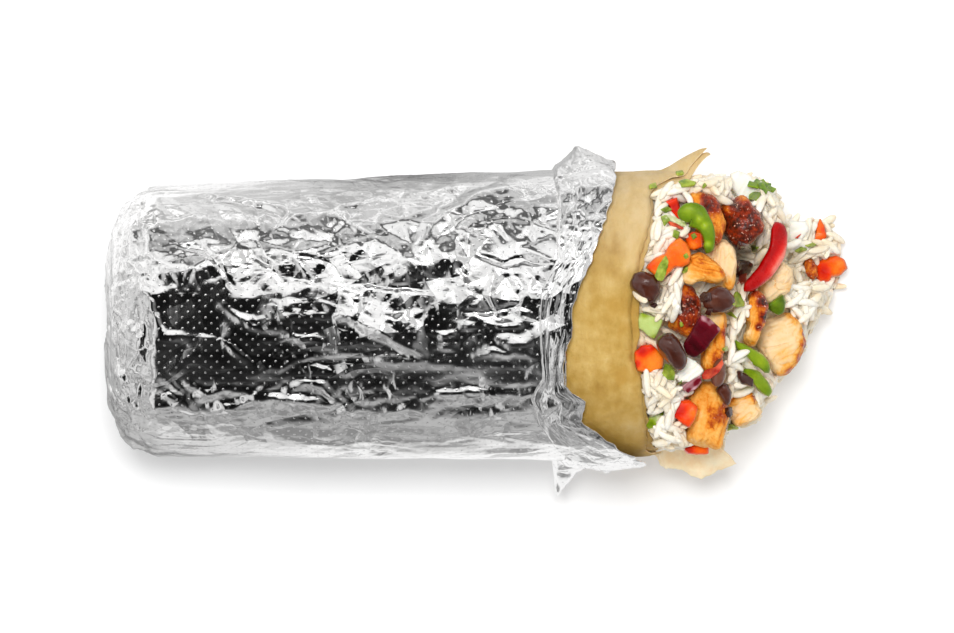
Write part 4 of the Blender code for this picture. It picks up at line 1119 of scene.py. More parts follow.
# ---- Tomato ---------------------------------------------------------------------------------------
# Raw tomato cut into small dice: firm orange-red flesh with wet cut faces and a red skin on one side.
TOMATOES = (
    # node, outline, squareness, skin, spots of skin (1) or of flesh (0)
    ("tomato_1", ((50.4, 32.2), (53.8, 33.6), (54.4, 31), (55.1, 27), (52, 28.2), (50.4, 28.6),
                  (51.9, 30.8)), 6, 0.62, ((53.2, 30.5, 1.5, 1), (54.6, 30, 0.7, 0.1))),
    ("tomato_2", ((54.4, 22.8), (56.4, 21.2), (57.6, 18.2), (57, 15.6), (55, 14.4), (53, 14.4),
                  (50.6, 11.8), (49, 10.8), (45.2, 14.4), (47.6, 17), (50.4, 18), (51.6, 20.6)), 4.5,
     0.18, ((56.6, 18, 1.1, 0), (53, 17, 2.4, 0.28), (46.6, 15.2, 1.6, 0.5))),
    ("tomato_3", ((55.8, 23.4), (58, 24.2), (60.4, 23.8), (60.6, 20), (58.4, 19), (56.6, 19.6)), 5, 0.45,
     ((58, 20.4, 1.4, 0.15),)),
    ("tomato_4", ((42.2, -8.4), (44, -6.7), (46.8, -6.2), (48.4, -7.6), (50.1, -9.8), (49.8, -13),
                  (46, -14.2), (43, -13.6), (42.2, -10.6)), 6, 0.16, ((44.2, -8, 1.8, 1),
                                                                      (42.8, -11.5, 1.1, 0.85),
                                                                      (46.8, -7.2, 1.2, 0.8),
                                                                      (47.4, -11.4, 2, 0.02))),
    ("tomato_5", ((53.8, -21.6), (57, -21.2), (59.5, -23.2), (58.4, -26.6), (57, -28.9), (54, -27),
                  (51.6, -24.8)), 6, 0.50, ((54, -24.4, 2, 0.95), (57.8, -25, 1.4, 0.25))),
    ("tomato_6", ((55.3, -34.7), (57, -33.4), (60, -32.6), (62.4, -33), (62.2, -35.8), (59, -36.2),
                  (56.4, -35.8)), 4, 0.30, ((57, -34.6, 1.4, 0.85),)),
    ("tomato_7", ((91, 15.4), (93, 16.8), (96.6, 17.8), (98.8, 16.6), (99.8, 14.2), (98, 12.4),
                  (95.2, 11.8), (94.8, 10.6), (92, 10.6), (90.8, 12.6)), 4.5, 0.35,
     ((93.2, 13.4, 2, 0.9), (97.4, 14.8, 2.2, 0.15))),
    ("tomato_8", ((92.3, 28), (93.6, 25.6), (94, 22.6), (91.4, 20.8), (89, 20), (91, 22.4), (91.4, 25.4)),
     4, 0.25, ((90, 20.8, 1.3, 0.05), (93.2, 24.6, 1, 0.5))),
)


def tomato_finish():
    """Wet flesh that light sinks into, orange where it was cut and deep red at its skin."""
    flesh = Finish("tomato_flesh", Subsurface_Weight=0.12, Subsurface_Scale=0.002, Coat_Weight=0.30,
                   Coat_Roughness=0.10, Specular_IOR_Level=0.3,
                   Subsurface_Radius=(1.0, 0.25, 0.08))
    skin = flesh.painted("skin")
    cloud = flesh.speckle(1.8, 3.0, 0.6)
    fine = flesh.speckle(0.5, 2.0)
    colour = flesh.coloured(skin + (cloud - 0.5) * 0.5,
                            (0.0, (0.86, 0.24, 0.02)), (0.25, (0.80, 0.125, 0.004)),
                            (0.6, (0.74, 0.032, 0.001)), (1.0, (0.52, 0.006, 0.001)))
    relief = flesh.bumped(fine, 0.05, flesh.bumped(cloud, 0.28))
    return flesh.set(Base_Color=colour, Roughness=cloud.between(0.3, 0.7, 0.22, 0.42), Normal=relief)


tomato_flesh = tomato_finish()
for seed, (node, outline, squareness, skin, spots) in enumerate(TOMATOES):
    bed, half_depth = lie(node)
    piece = lump("loose_" + node, outline, bed, half_depth, squareness, 64, 36, 0.6)
    points, ways = spots_of(piece)
    dents = 0.28 * uneven(points, 3.0, seed) + 0.07 * uneven(points, 0.9, seed + 9)
    shaped(piece, points + ways * dents[:, None])
    painted(piece, "skin", patched(points, skin, spots))
    piece.data.materials.append(tomato_flesh)
    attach(piece, "root")
    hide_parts(node)
    loose_pieces.append(piece)


# ---- Onions ---------------------------------------------------------------------------------------
# Diced raw onion: each piece is a bit of one curved layer, glassy white or maroon with a purple rim,
# finely ribbed along the layer.
ONIONS = (
    # node, slot, outline, heading of the ribs, tint, spots of tint
    ("red_onion_1", "red_onion", ((60.4, 1.9), (62.6, 0.4), (65.6, -2.2), (63.6, -5), (61.2, -8),
                                  (58.4, -10.2), (56.4, -8.8), (55.2, -6.4), (57.2, -3.4), (58.4, -0.8)),
     -48, 0.20, ((61, 0.8, 1.3, 0.72), (63, -0.4, 1.3, 0.66), (65, -2.2, 1, 0.6),
                 (58, -8.5, 2.6, 0.05))),
    ("red_onion_2", "red_onion", ((60, -14.4), (60.5, -16.6), (58.4, -18.4), (56.6, -19.6), (54.6, -18),
                                  (56, -16.8), (58, -15)), 42, 0.72, ((59.4, -16.6, 1.3, 0.5),
                                                                      (57, -19, 0.9, 0.45))),
    ("white_onion_1", "white_onion", ((56.4, -9.4), (58.6, -10.8), (61, -13.4), (60, -14.6), (57, -16.6),
                                      (54.4, -16.4), (52.8, -15), (55, -12.4)), 40, 0.5, ()),
    ("white_onion_2", "white_onion", ((68, 39.8), (70.4, 40.6), (74, 39), (76, 37), (75.6, 34.4),
                                      (73, 32.4), (70, 33.4), (68.2, 36)), 60, 0.5, ()),
    ("white_onion_3", "white_onion", ((83.8, 27), (88.6, 26.9), (89.2, 24.4), (87, 21.4), (84, 21.6),
                                      (83.4, 24)), 20, 0.5, ()),
)


def onion_finish(name, dark, mid, light, ribs):
    """Glassy onion flesh with fine ribs along the layer; tint turns it from dark to light."""
    layer = Finish(name, Subsurface_Weight=0.12, Subsurface_Scale=0.002, Coat_Weight=0.08,
                   Coat_Roughness=0.10, Specular_IOR_Level=0.15)
    tint = layer.painted("tint")
    rib = layer.painted("rib")
    cloud = layer.speckle(1.6, 3.0, 0.6)
    level = tint + (rib - 0.5) * ribs + (cloud - 0.5) * 0.25
    colour = layer.coloured(level, (0.0, dark), (0.5, mid), (1.0, light))
    relief = layer.bumped(cloud, 0.14, layer.bumped(rib, 0.10))
    return layer.set(Base_Color=colour, Roughness=cloud.between(0.3, 0.7, 0.25, 0.45), Normal=relief)


red_onion = onion_finish("red_onion_layer", (0.028, 0.001, 0.002), (0.15, 0.002, 0.011),
                         (0.80, 0.50, 0.54), 0.20)
white_onion = onion_finish("white_onion_layer", (0.70, 0.66, 0.52), (0.86, 0.84, 0.76),
                           (0.94, 0.93, 0.88), 0.3)
for seed, (node, slot, outline, heading, tint, spots) in enumerate(ONIONS):
    bed, half_depth = lie(node)
    piece = lump("loose_" + node, outline, bed, half_depth, 5.0, 64, 28, 0.6)
    points, ways = spots_of(piece)
    ribs = uneven(points, (30.0, 0.8, 3.0), seed, heading)
    shaped(piece, points + ways * (0.12 * ribs + 0.3 * uneven(points, 3.4, seed + 5))[:, None])
    painted(piece, "tint", patched(points, tint, spots))
    painted(piece, "rib", 0.5 + (2.6 if node == "red_onion_2" else 0.9) * ribs)
    piece.data.materials.append(red_onion if slot == "red_onion" else white_onion)
    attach(piece, "root")
    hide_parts(node)
    loose_pieces.append(piece)


# ---- Green peppers and scallion -------------------------------------------------------------------
# Strips and bits of green pepper: waxy green skin outside, paler wet flesh on the cut edges. The
# scallion is a slanted slice of a hollow green stalk.
GREENS = (
    # node, slot, outline, shade from dark (0) to pale (1), spots of shade
    ("green_pepper_2", "green_pepper", ((43, 0.4), (44, 2.2), (46.4, 1.8), (50, 0.4), (49.4, -1.8),
                                        (47.6, -5), (45.4, -3.8), (43.6, -2)), 0.78,
     ((45, 1.6, 1.2, 0.55), (47.6, -4.4, 1, 0.6))),
    ("green_pepper_3", "green_pepper", ((68.6, -4), (69.6, -5.6), (71.6, -5.8), (73.6, -7.2), (76.8, -9),
                                        (79, -12), (78.6, -14.6), (76.6, -13.2), (74.4, -12),
                                        (72.8, -9.6), (70, -7.6)), 0.36, ((69.4, -5.2, 1.2, 0.15),
                                                                          (76, -10.6, 1.8, 0.5),
                                                                          (78, -13.4, 1, 0.2))),
    ("green_pepper_4", "green_pepper", ((70.2, -12.6), (73, -12.6), (76, -13.8), (78.6, -16.4),
                                        (79.4, -19), (78.4, -20.6), (76, -18.8), (73.8, -15.8),
                                        (71.8, -14.4)), 0.38, ((71.2, -12.8, 1.1, 0.2),
                                                               (75, -15, 1.2, 0.52),
                                                               (78.4, -19, 1.2, 0.3))),
    ("green_pepper_5", "green_pepper", ((77.2, 4), (79.8, 5.6), (82.4, 7.2), (83.4, 5), (82.6, 2.4),
                                        (81, 1.3), (79, 2.8)), 0.12, ((80, 5, 1, 0.3),)),
    ("scallion_ring", "scallion", ((45, -28.2), (46.6, -25.2), (49.8, -23.4), (51.7, -25), (49.4, -26.4),
                                   (48.4, -28.6), (46.2, -29.2)), 0.9, ((49.8, -24.4, 1.5, 0.32),
                                                                        (46.6, -27.8, 1.5, 0.35),
                                                                        (47.2, -25.6, 1, 0.75),
                                                                        (48.8, -26, 0.8, 1))),
)
PEPPER_CURL = (
    (55.4, 26.6, 4), (56.2, 28.2, 5.8), (57.4, 28.9, 6.8), (59, 28.2, 6.6), (60.4, 26.9, 5.4),
    (61.5, 25.4, 4.4), (62.3, 23.4, 3.5), (62.5, 21.4, 2.9), (62.1, 19.4, 2.7), (61.6, 18.2, 2),
)
CURL_SHADE = 0.26
CURL_SPOTS = (
    (59.6, 27.4, 1, 0.66), (61, 25.8, 1, 0.6), (57, 30, 1.6, 0.45),
    (62, 20.8, 0.9, 0.62), (61.8, 19, 1.2, 0.12), (57.6, 26.4, 1.4, 0.2),
)


def green_finish():
    """Waxy pepper skin in clear green that pales to yellow green at cut edges and inside."""
    skin = Finish("green_pepper_skin", Subsurface_Weight=0.06, Subsurface_Scale=0.0015, Coat_Weight=0.15,
                  Coat_Roughness=0.10, Specular_IOR_Level=0.22)
    shade = skin.painted("shade")
    cloud = skin.speckle(2.2, 3.0, 0.6)
    fine = skin.speckle(0.45, 2.0)
    colour = skin.coloured(shade + (cloud - 0.5) * 0.45,
                           (0.0, (0.04, 0.075, 0.001)), (0.3, (0.13, 0.22, 0.003)),
                           (0.55, (0.27, 0.37, 0.012)), (0.8, (0.46, 0.56, 0.18)),
                           (1.0, (0.80, 0.82, 0.50)))
    relief = skin.bumped(fine, 0.05, skin.bumped(cloud, 0.22))
    return skin.set(Base_Color=colour, Roughness=cloud.between(0.3, 0.7, 0.26, 0.42), Normal=relief)


def strip(name, course, bed, half_depth, lift):
    """A curved strip with round edges, swept along its course: (x, y, width) as seen from above."""
    middle = np.mean(course, axis=0)
    height = bed @ (1, *plan(middle[0], middle[1], 60)) + lift
    run = np.concatenate([[0], np.cumsum([math.dist(a[:2], b[:2]) for a, b in zip(course, course[1:])])])
    steps = np.linspace(0, run[-1], 46)
    x, y, wide = (np.interp(steps, run, [row[axis] for row in course]) for axis in range(3))
    for values in (x, y, wide):
        values[1:-1] = np.convolve(values, (0.25, 0.5, 0.25), "valid")
        values[1:-1] = np.convolve(values, (0.25, 0.5, 0.25), "valid")
    x, y = np.array([plan(px, py, height) for px, py in zip(x, y)]).T
    heading = np.arctan2(np.gradient(y), np.gradient(x))
    taper = np.clip(np.minimum(steps, steps[-1] - steps) / 1.6, 0, 1) ** 0.5
    turns = np.linspace(0, 2 * math.pi, 37)
    across = signed_power(np.cos(turns), 2 / 3.2)[None, :] * (wide * taper / 2)[:, None]
    up = signed_power(np.sin(turns), 2 / 2.6)[None, :] * (half_depth * (0.2 + 0.8 * taper))[:, None]
    points = np.stack([x[:, None] - np.sin(heading)[:, None] * across,
                       y[:, None] + np.cos(heading)[:, None] * across, up], axis=-1)
    points[..., 2] += bed[0] + lift + points[..., :2] @ bed[1:]
    ends = [np.broadcast_to(points[end, :-1].mean(axis=0), points[end].shape)[None] for end in (0, -1)]
    points = np.concatenate([ends[0], points, ends[1]])
    return rolled(name, points, np.concatenate([[-1], steps, [steps[-1] + 1]]), turns * 2)


green_skin = green_finish()
for seed, (node, slot, outline, shade, spots) in enumerate(GREENS):
    bed, half_depth = lie(node)
    piece = lump("loose_" + node, outline, bed, half_depth, 4.0, 64, 28, 0.6)
    points, ways = spots_of(piece)
    dents = 0.45 * uneven(points, 3.0, seed) + 0.1 * uneven(points, 1.2, seed + 5)
    shaped(piece, points + ways * dents[:, None])
    painted(piece, "shade", patched(points, shade, spots) + 0.3 * ramp(-ways[:, 2], -0.5, 0.2))
    piece.data.materials.append(green_skin)
    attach(piece, "root")
    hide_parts(node)
    loose_pieces.append(piece)

bed, half_depth = lie("green_pepper_1")
curl = strip("loose_green_pepper_1", PEPPER_CURL, bed, 1.7, 0.2)
points, ways = spots_of(curl)
shaped(curl, points + ways * (0.3 * uneven(points, 3.0, 71))[:, None])
painted(curl, "shade", patched(points, CURL_SHADE, CURL_SPOTS))
curl.data.materials.append(green_skin)
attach(curl, "root")
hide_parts("green_pepper_1")
loose_pieces.append(curl)


# ---- Red pepper strip -----------------------------------------------------------------------------
# One long curved strip of red pepper: glossy deep red skin, with a pale pink painted highlight on the cut
# edge along its outside.
RED_STRIP = (
    (71.6, 8, 2.2), (73, 9.2, 3.4), (75.2, 11, 4.1), (77.4, 13.2, 4.5), (79.2, 15.6, 4.8),
    (80.6, 18.2, 5), (81.4, 20.8, 5), (81.5, 23.4, 4.6), (81, 25.4, 3.8), (80.2, 26.8, 2.6),
)


def red_finish():
    """Deep red waxy skin, a little cloudy, with a pink cut edge that carries a painted highlight."""
    skin = Finish("red_pepper_skin", Subsurface_Weight=0.06, Subsurface_Scale=0.002, Coat_Weight=0.18,
                  Coat_Roughness=0.08, Specular_IOR_Level=0.22)
    # cut: the cut edge along the outside, made pink and pale by a painted highlight
    cut = skin.painted("cut")
    cloud = skin.speckle(1.8, 3.0, 0.6)
    colour = skin.coloured(cut + (cloud - 0.5) * 0.35, (0.0, (0.26, 0.0, 0.0)), (0.34, (0.50, 0.0, 0.0)),
                           (0.62, (0.70, 0.03, 0.02)), (1.0, (0.88, 0.30, 0.22)))
    return skin.set(Base_Color=colour, Roughness=cloud.between(0.3, 0.7, 0.2, 0.36),
                    Normal=skin.bumped(cloud, 0.22))


bed, half_depth = lie("red_pepper_strip")
red_strip = strip("loose_red_pepper_strip", RED_STRIP, bed, 2.4, 0.3)
points, ways = spots_of(red_strip)
highlit_outer_edge = ramp(points[:, 0] - 0.62 * points[:, 1], 68.0, 70.8) * ramp(points[:, 1], 9.0, 14.0)
shaped(red_strip, points + ways * (0.3 * uneven(points, 4.0, 81))[:, None])
# painted highlight on the cut outer edge
painted(red_strip, "cut", 0.16 + 0.7 * highlit_outer_edge)
red_strip.data.materials.append(red_finish())
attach(red_strip, "root")
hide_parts("red_pepper_strip")
loose_pieces.append(red_strip)


# ---- Rice -----------------------------------------------------------------------------------------
# Long-grain rice, boiled soft and a little sticky. Its packed middle is one lump that the burrito is
# rolled round; the loose grains on it lie every way, and spill down its front.
GRAIN_LENGTH, GRAIN_WIDTH = 7.9, 2.1
TOP_GRAINS, TOP_TRIES, SLOPE_TRIES, SLOPE_SPACING = 560, 60000, 5200, 1.9
NO_CEILING, ABOVE_ALL, CORE_BELOW_TOP = 200.0, 120.0, 2.6
RING_POINTS = 130
CELL = 0.5
HEAP_X, HEAP_Y = (34.0, 103.0), (-40.0, 46.0)
cells_x = np.arange(HEAP_X[0], HEAP_X[1], CELL)
cells_y = np.arange(HEAP_Y[0], HEAP_Y[1], CELL)


def tree_over(pieces):
    """One search tree over the given pieces' faces, in mm from the burrito's own zero."""
    corners, faces = [], []
    for piece in pieces:
        first = len(corners)
        corners += [vertex.co / MM - ORIGIN for vertex in piece.data.vertices]
        faces += [[first + index for index in face.vertices] for face in piece.data.polygons]
    return BVHTree.FromPolygons(corners, faces)


def tops(tree, nothing):
    """Height of the highest face over each cell of the heap."""
    heights = np.full((len(cells_x), len(cells_y)), float(nothing))
    for i, x in enumerate(cells_x):
        for j, y in enumerate(cells_y):
            hit = tree.ray_cast(Vector((x, y, ABOVE_ALL)), Vector((0, 0, -1)))[0]
            if hit:
                heights[i, j] = hit.z
    return heights


def at_cell(field, x, y):
    """A field's values at places given in mm."""
    i = np.clip(((np.asarray(x) - HEAP_X[0]) / CELL).round().astype(int), 0, field.shape[0] - 1)
    j = np.clip(((np.asarray(y) - HEAP_Y[0]) / CELL).round().astype(int), 0, field.shape[1] - 1)
    return field[i, j]


# the core stays clear below each loose piece, and falls away from it no steeper than 45 degrees
pieces_top = tops(tree_over(loose_pieces), -1.0)
covered = pieces_top > 0
ceiling = np.where(covered, pieces_top - CORE_BELOW_TOP, NO_CEILING)
for _ in range(60):
    framed = np.pad(ceiling, 1, constant_values=NO_CEILING) + CELL
    for near in (framed[2:, 1:-1], framed[:-2, 1:-1], framed[1:-1, 2:], framed[1:-1, :-2]):
        ceiling = np.minimum(ceiling, near)

heap = tree_over([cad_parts["rice_filling"]])
NEAR_EDGE = (
    (40, -38), (62, -36), (66, -34), (67.5, -29.5), (73, -28.5), (76, -26.5), (77, -22), (79, -20),
    (80.5, -17), (83, -15.6), (85, -14), (87, -11), (88.6, -6.5), (90, -4.5), (93, 0), (96, 5), (98, 9),
    (100.5, 13),
)
FAR_EDGE = (
    (40, 42), (66, 40), (70, 41), (78, 39), (80.5, 36), (81.5, 32), (83, 28.5), (88, 28), (92, 29),
    (95.5, 29), (97.5, 25), (99, 21), (100.5, 16),
)


def spread_to(x, inset):
    """The near and far edges of the filling at x as seen from above, less an inset, in mm."""
    near = np.interp(x, [point[0] for point in NEAR_EDGE], [point[1] for point in NEAR_EDGE]) + inset
    far = np.interp(x, [point[0] for point in FAR_EDGE], [point[1] for point in FAR_EDGE]) - inset
    return near, np.maximum(far, near + 1.0)


def heap_ring(x, count):
    """One slice of the rice across the burrito: over its top and back under it."""
    up, down = Vector((0, 0, 1)), Vector((0, 0, -1))
    near, far = spread_to(x, 2.4 * ramp(x, 60.0, 66.0))
    inside = [y for y in np.arange(-42.0, 46.0, 0.25)
              if near < y < far and heap.ray_cast(Vector((x, y, ABOVE_ALL)), down)[0]]
    ring = []
    for way, turns in ((down, np.linspace(math.pi, 0, count)), (up, np.linspace(0, math.pi, count)[1:-1])):
        for turn in turns:
            y = between(inside[0], inside[-1], 0.5 + 0.5 * math.cos(turn))
            hit = heap.ray_cast(Vector((x, y, ABOVE_ALL if way is down else -20)), way)[0]
            ring.append((x, y, hit.z if hit else ring[-1][2]))
    return np.array(ring + ring[:1])


ring_x = np.concatenate([np.arange(-95.0, 36.0, 10.0), np.arange(36.0, 98.6, 0.7)])
rings = np.array([heap_ring(x, RING_POINTS) for x in ring_x])
top_side = np.arange(rings.shape[1]) < RING_POINTS
open_part = ramp(rings[..., 0], 39.0, 44.0)
tall = ramp(rings[..., 2], 0.5, 6.0)
rings[..., 2] -= np.where(top_side, 0.9, 0.0) * open_part * tall
bumps = uneven(rings.reshape(-1, 3), 2.8, 3).reshape(rings.shape[:2])
limit = at_cell(ceiling, rings[..., 0], rings[..., 1])
lowered = np.minimum(rings[..., 2], limit) + 0.8 * bumps * open_part * tall
for _ in range(2):
    lowered[1:-1] = 0.5 * lowered[1:-1] + 0.25 * (lowered[2:] + lowered[:-2])
lowered = np.minimum(lowered, limit)
floor_z = rings[:, ~top_side, 2].min(axis=1)[:, None]
rings[..., 2] = np.where(top_side & (rings[..., 0] > 38), np.maximum(lowered, floor_z + 0.4), rings[..., 2])
ends = [np.broadcast_to(rings[end].mean(axis=0), rings[end].shape)[None] for end in (0, -1)]
rings = np.concatenate([ends[0], rings, ends[1]])
run = np.concatenate([[-96], ring_x, [100]])
rice_core = rolled("rice_core", rings, run, np.arange(rings.shape[1]) * 0.6)
points, ways = spots_of(rice_core)
steep = ramp(np.abs(ways[:, 2]), 0.8, 0.4) * ramp(points[:, 0], 44.0, 50.0) * ramp(points[:, 2], 0.5, 3.0)
shaped(rice_core, points + ways * (steep * (0.9 * uneven(points, 2.8, 9) - 0.9))[:, None])


def rice_finish():
    """Boiled rice: translucent milky white, a little glossy with starch."""
    rice = Finish("boiled_rice", Subsurface_Weight=0.30, Subsurface_Scale=0.002, Specular_IOR_Level=0.45,
                  Coat_Weight=0.12, Coat_Roughness=0.25,
                  Subsurface_Radius=(1.0, 0.85, 0.65))
    stain = rice.speckle(9.0, 3.0, 0.6)
    fine = rice.speckle(0.8, 3.0, 0.6)
    colour = rice.coloured(stain * 0.75 + fine * 0.25,
                           (0.32, (0.82, 0.66, 0.44)), (0.46, (0.87, 0.76, 0.58)),
                           (0.60, (0.94, 0.89, 0.78)))
    return rice.set(Base_Color=colour, Roughness=fine.between(0.3, 0.7, 0.38, 0.55),
                    Normal=rice.bumped(fine, 0.10))


def paste_finish():
    """The shaded middle of the heap between the grains, stained by sauce."""
    paste = Finish("rice_paste", Roughness=0.6, Subsurface_Weight=0.15, Subsurface_Scale=0.002)
    stain = paste.speckle(7.0, 3.0, 0.6)
    fine = paste.speckle(1.2, 3.0, 0.6)
    colour = paste.coloured(stain * 0.6 + fine * 0.4,
                            (0.34, (0.70, 0.50, 0.26)), (0.48, (0.86, 0.72, 0.50)),
                            (0.62, (0.93, 0.86, 0.72)))
    return paste.set(Base_Color=colour, Normal=paste.bumped(fine, 0.6))


rice_core.data.materials.append(paste_finish())
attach(rice_core, "root")
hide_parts("rice_filling")

surface = np.maximum(tops(tree_over([rice_core]), -1.0), pieces_top)
walls_top = tops(tree_over([tortilla_outer, tortilla_inner]), -1.0)
under_bread = walls_top > surface - 1.0
chance = random.Random(5)
grain_rows = []
# spots mostly kept bare of grains: three dark hollows, where the painted shade lies, and a smooth clump on
# the spill
BARE_SPOTS = (
    (68.5, 76, 11, 22), (69, 75.5, -18.5, -13), (59, 63.5, 1.5, 8.5), (83, 91, 9, 20),
)
NAMED_GRAINS = (
    # x, y, heading, length
    (72.6, 17.9, -20, 8), (79.6, 30, 55, 7.4), (50, -32.2, 15, 8), (54.2, -31.6, -62, 7.4),
    (52.6, 6.4, -78, 8.6), (51.6, 3.2, -70, 8), (53.2, 2, 70, 7), (68.6, -3.4, 84, 8),
    (69, 0.6, -80, 7), (68.2, -8.6, 80, 7.4), (70.6, -9.6, 30, 7), (69, -12.2, -25, 7.6),
    (71.4, -16.6, 20, 7), (70.4, 2.8, 62, 7), (71.6, 7.6, 80, 7), (93.6, 3.6, -35, 8),
    (91.4, 0.6, 62, 7), (96.6, 22.4, -28, 8), (92, 19.4, 12, 8), (86.6, 17.8, 40, 8),
    (84.6, 21, 20, 7.6), (87.4, 9.2, -6, 8), (92.4, 9, 5, 7.6), (90.6, 5.8, 40, 7),
    (76, 21.4, 80, 6.4), (77.8, 22.6, 70, 5.8), (56.4, 33, -60, 6.4), (54.2, 35, 15, 7.6),
    (48.6, 24.4, 80, 6.4), (62.2, 37.4, 12, 7), (94.6, 27.2, 30, 6.4), (55.6, 24.4, 50, 5.4),
    (53.2, 12.6, 60, 7.4), (43.8, 6.6, -40, 6),
)


def lay_grain(x, y, heading, length, settle):
    """Lays one grain on whatever is highest below it and raises the heap there; False if it doesn't fit."""
    turn = math.radians(heading)
    ahead = np.array((math.cos(turn), math.sin(turn)))
    run = np.linspace(-0.42, 0.42, 7) * length
    along_x, along_y = x + ahead[0] * run, y + ahead[1] * run
    beds = at_cell(surface, along_x, along_y)
    if settle:
        blocked = at_cell(covered | under_bread, along_x, along_y)
        if blocked.mean() > 0.15 or blocked[3] or beds.min() < 0 and x < 84:
            return False
        near, far = spread_to(along_x, 0.4)
        if (along_y < near).any() or (along_y > far).any():
            return False
        if x > 83 and chance.random() > 0.4:
            return False
        if any(x0 < x < x1 and y0 < y < y1 for x0, x1, y0, y1 in BARE_SPOTS) and chance.random() > 0.1:
            return False
    beds = np.maximum(beds, 0.0)
    slope, level = np.polyfit(run, beds, 1)
    slope = max(-0.9, min(0.9, slope))
    level = max(np.median(beds - slope * run), level) + GRAIN_WIDTH * 0.26
    low_end = Vector((*ahead, slope)).normalized()
    at = Vector((x, y, max(level, GRAIN_WIDTH * 0.5 + abs(slope) * length * 0.4)))
    grain_rows.append((at, low_end, Vector((0, 0, 1)), length))
    i0, i1 = np.searchsorted(cells_x, (x - length * 0.6, x + length * 0.6))
    j0, j1 = np.searchsorted(cells_y, (y - length * 0.6, y + length * 0.6))
    dx, dy = cells_x[i0:i1, None] - x, cells_y[None, j0:j1] - y
    far, aside = dx * ahead[0] + dy * ahead[1], np.abs(dy * ahead[0] - dx * ahead[1])
    near = (np.abs(far) < length * 0.44) & (aside < GRAIN_WIDTH * 0.42)
    block = surface[i0:i1, j0:j1]
    block[near] = np.maximum(block[near], (level + slope * far + GRAIN_WIDTH * 0.30)[near])
    return True


laid = 0
for _ in range(TOP_TRIES):
    if laid >= TOP_GRAINS:
        break
    picks = [(chance.uniform(39.0, 101.0), chance.uniform(-36.0, 41.0)) for _ in range(3)]
    picks = [pick for pick in picks if at_cell(surface, *pick) > 0.5]
    if not picks:
        continue
    x, y = min(picks, key=lambda pick: float(at_cell(surface, *pick)) + 0.72 * (pick[0] - 40))
    length = GRAIN_LENGTH * chance.uniform(0.82, 1.14)
    laid += lay_grain(x, y, chance.uniform(0, 180), length, True)
for x, y, heading, length in NAMED_GRAINS:
    x, y = plan(x, y, max(0.0, float(at_cell(surface, x, y))))
    lay_grain(x, y, heading, length, False)

neighbours = tree_over(loose_pieces + [tortilla_outer, tortilla_inner, tortilla_flap])
slopes = [face for face in rice_core.data.polygons if face.center.x > 0.050 and abs(face.normal.z) < 0.8]
slopes = chance.choices(slopes, [face.area for face in slopes], k=SLOPE_TRIES)
wall_grains = []
for face in slopes:
    at = face.center / MM - ORIGIN
    if at.z < 1.4 or (neighbours.find_nearest(at)[3] or 99) < 1.7:
        continue
    if any((at - other).length < SLOPE_SPACING for other in wall_grains):
        continue
    wall_grains.append(at)
    drawn = Vector([chance.gauss(0, 1) for _ in range(3)])
    ahead = (drawn - face.normal * drawn.dot(face.normal)).normalized()
    ahead = (ahead + face.normal * chance.uniform(-0.18, 0.22)).normalized()
    at = at + face.normal * GRAIN_WIDTH * chance.uniform(0.1, 0.45)
    grain_rows.append((at, ahead, face.normal.copy(), GRAIN_LENGTH * chance.uniform(0.82, 1.12)))

bpy.ops.mesh.primitive_uv_sphere_add(segments=8, ring_count=8, radius=1)
grain = bpy.context.object
shape = np.empty(len(grain.data.vertices) * 3)
grain.data.vertices.foreach_get("co", shape)
shape = shape.reshape(-1, 3)[:, (2, 1, 0)]
corners = [[*face.vertices][::-1] for face in grain.data.polygons]
bpy.data.objects.remove(grain)
blunt = np.abs(shape[:, :1]) ** 3
shape = np.concatenate([shape[:, :1], shape[:, 1:] * (1 + 0.18 * blunt)], axis=1)
all_points, all_faces = [], []
for at, ahead, up, length in grain_rows:
    width = GRAIN_WIDTH * chance.uniform(0.88, 1.12)
    bend = chance.uniform(-0.55, 0.55)
    solid = shape * (length / 2, width / 2, width / 2 * chance.uniform(0.8, 0.95))
    solid[:, 1] += bend * (1 - (2 * solid[:, 0] / length) ** 2)
    side = up.cross(ahead).normalized()
    place = solid @ np.array((ahead, side, ahead.cross(side))) + np.array(at)
    place[:, 2] = np.maximum(place[:, 2], 0.05)
    first = len(all_points) * len(shape)
    all_points.append(place)
    all_faces += [[first + index for index in face] for face in corners]
grains_mesh = bpy.data.meshes.new("rice_grains")
grains_mesh.from_pydata(((np.concatenate(all_points) + np.array(ORIGIN)) * MM).tolist(), [], all_faces)
rice_grains = bpy.data.objects.new("rice_grains", grains_mesh)
bpy.context.scene.collection.objects.link(rice_grains)
for face in grains_mesh.polygons:
    face.use_smooth = True
grains_mesh.materials.append(rice_finish())
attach(rice_grains, "root")


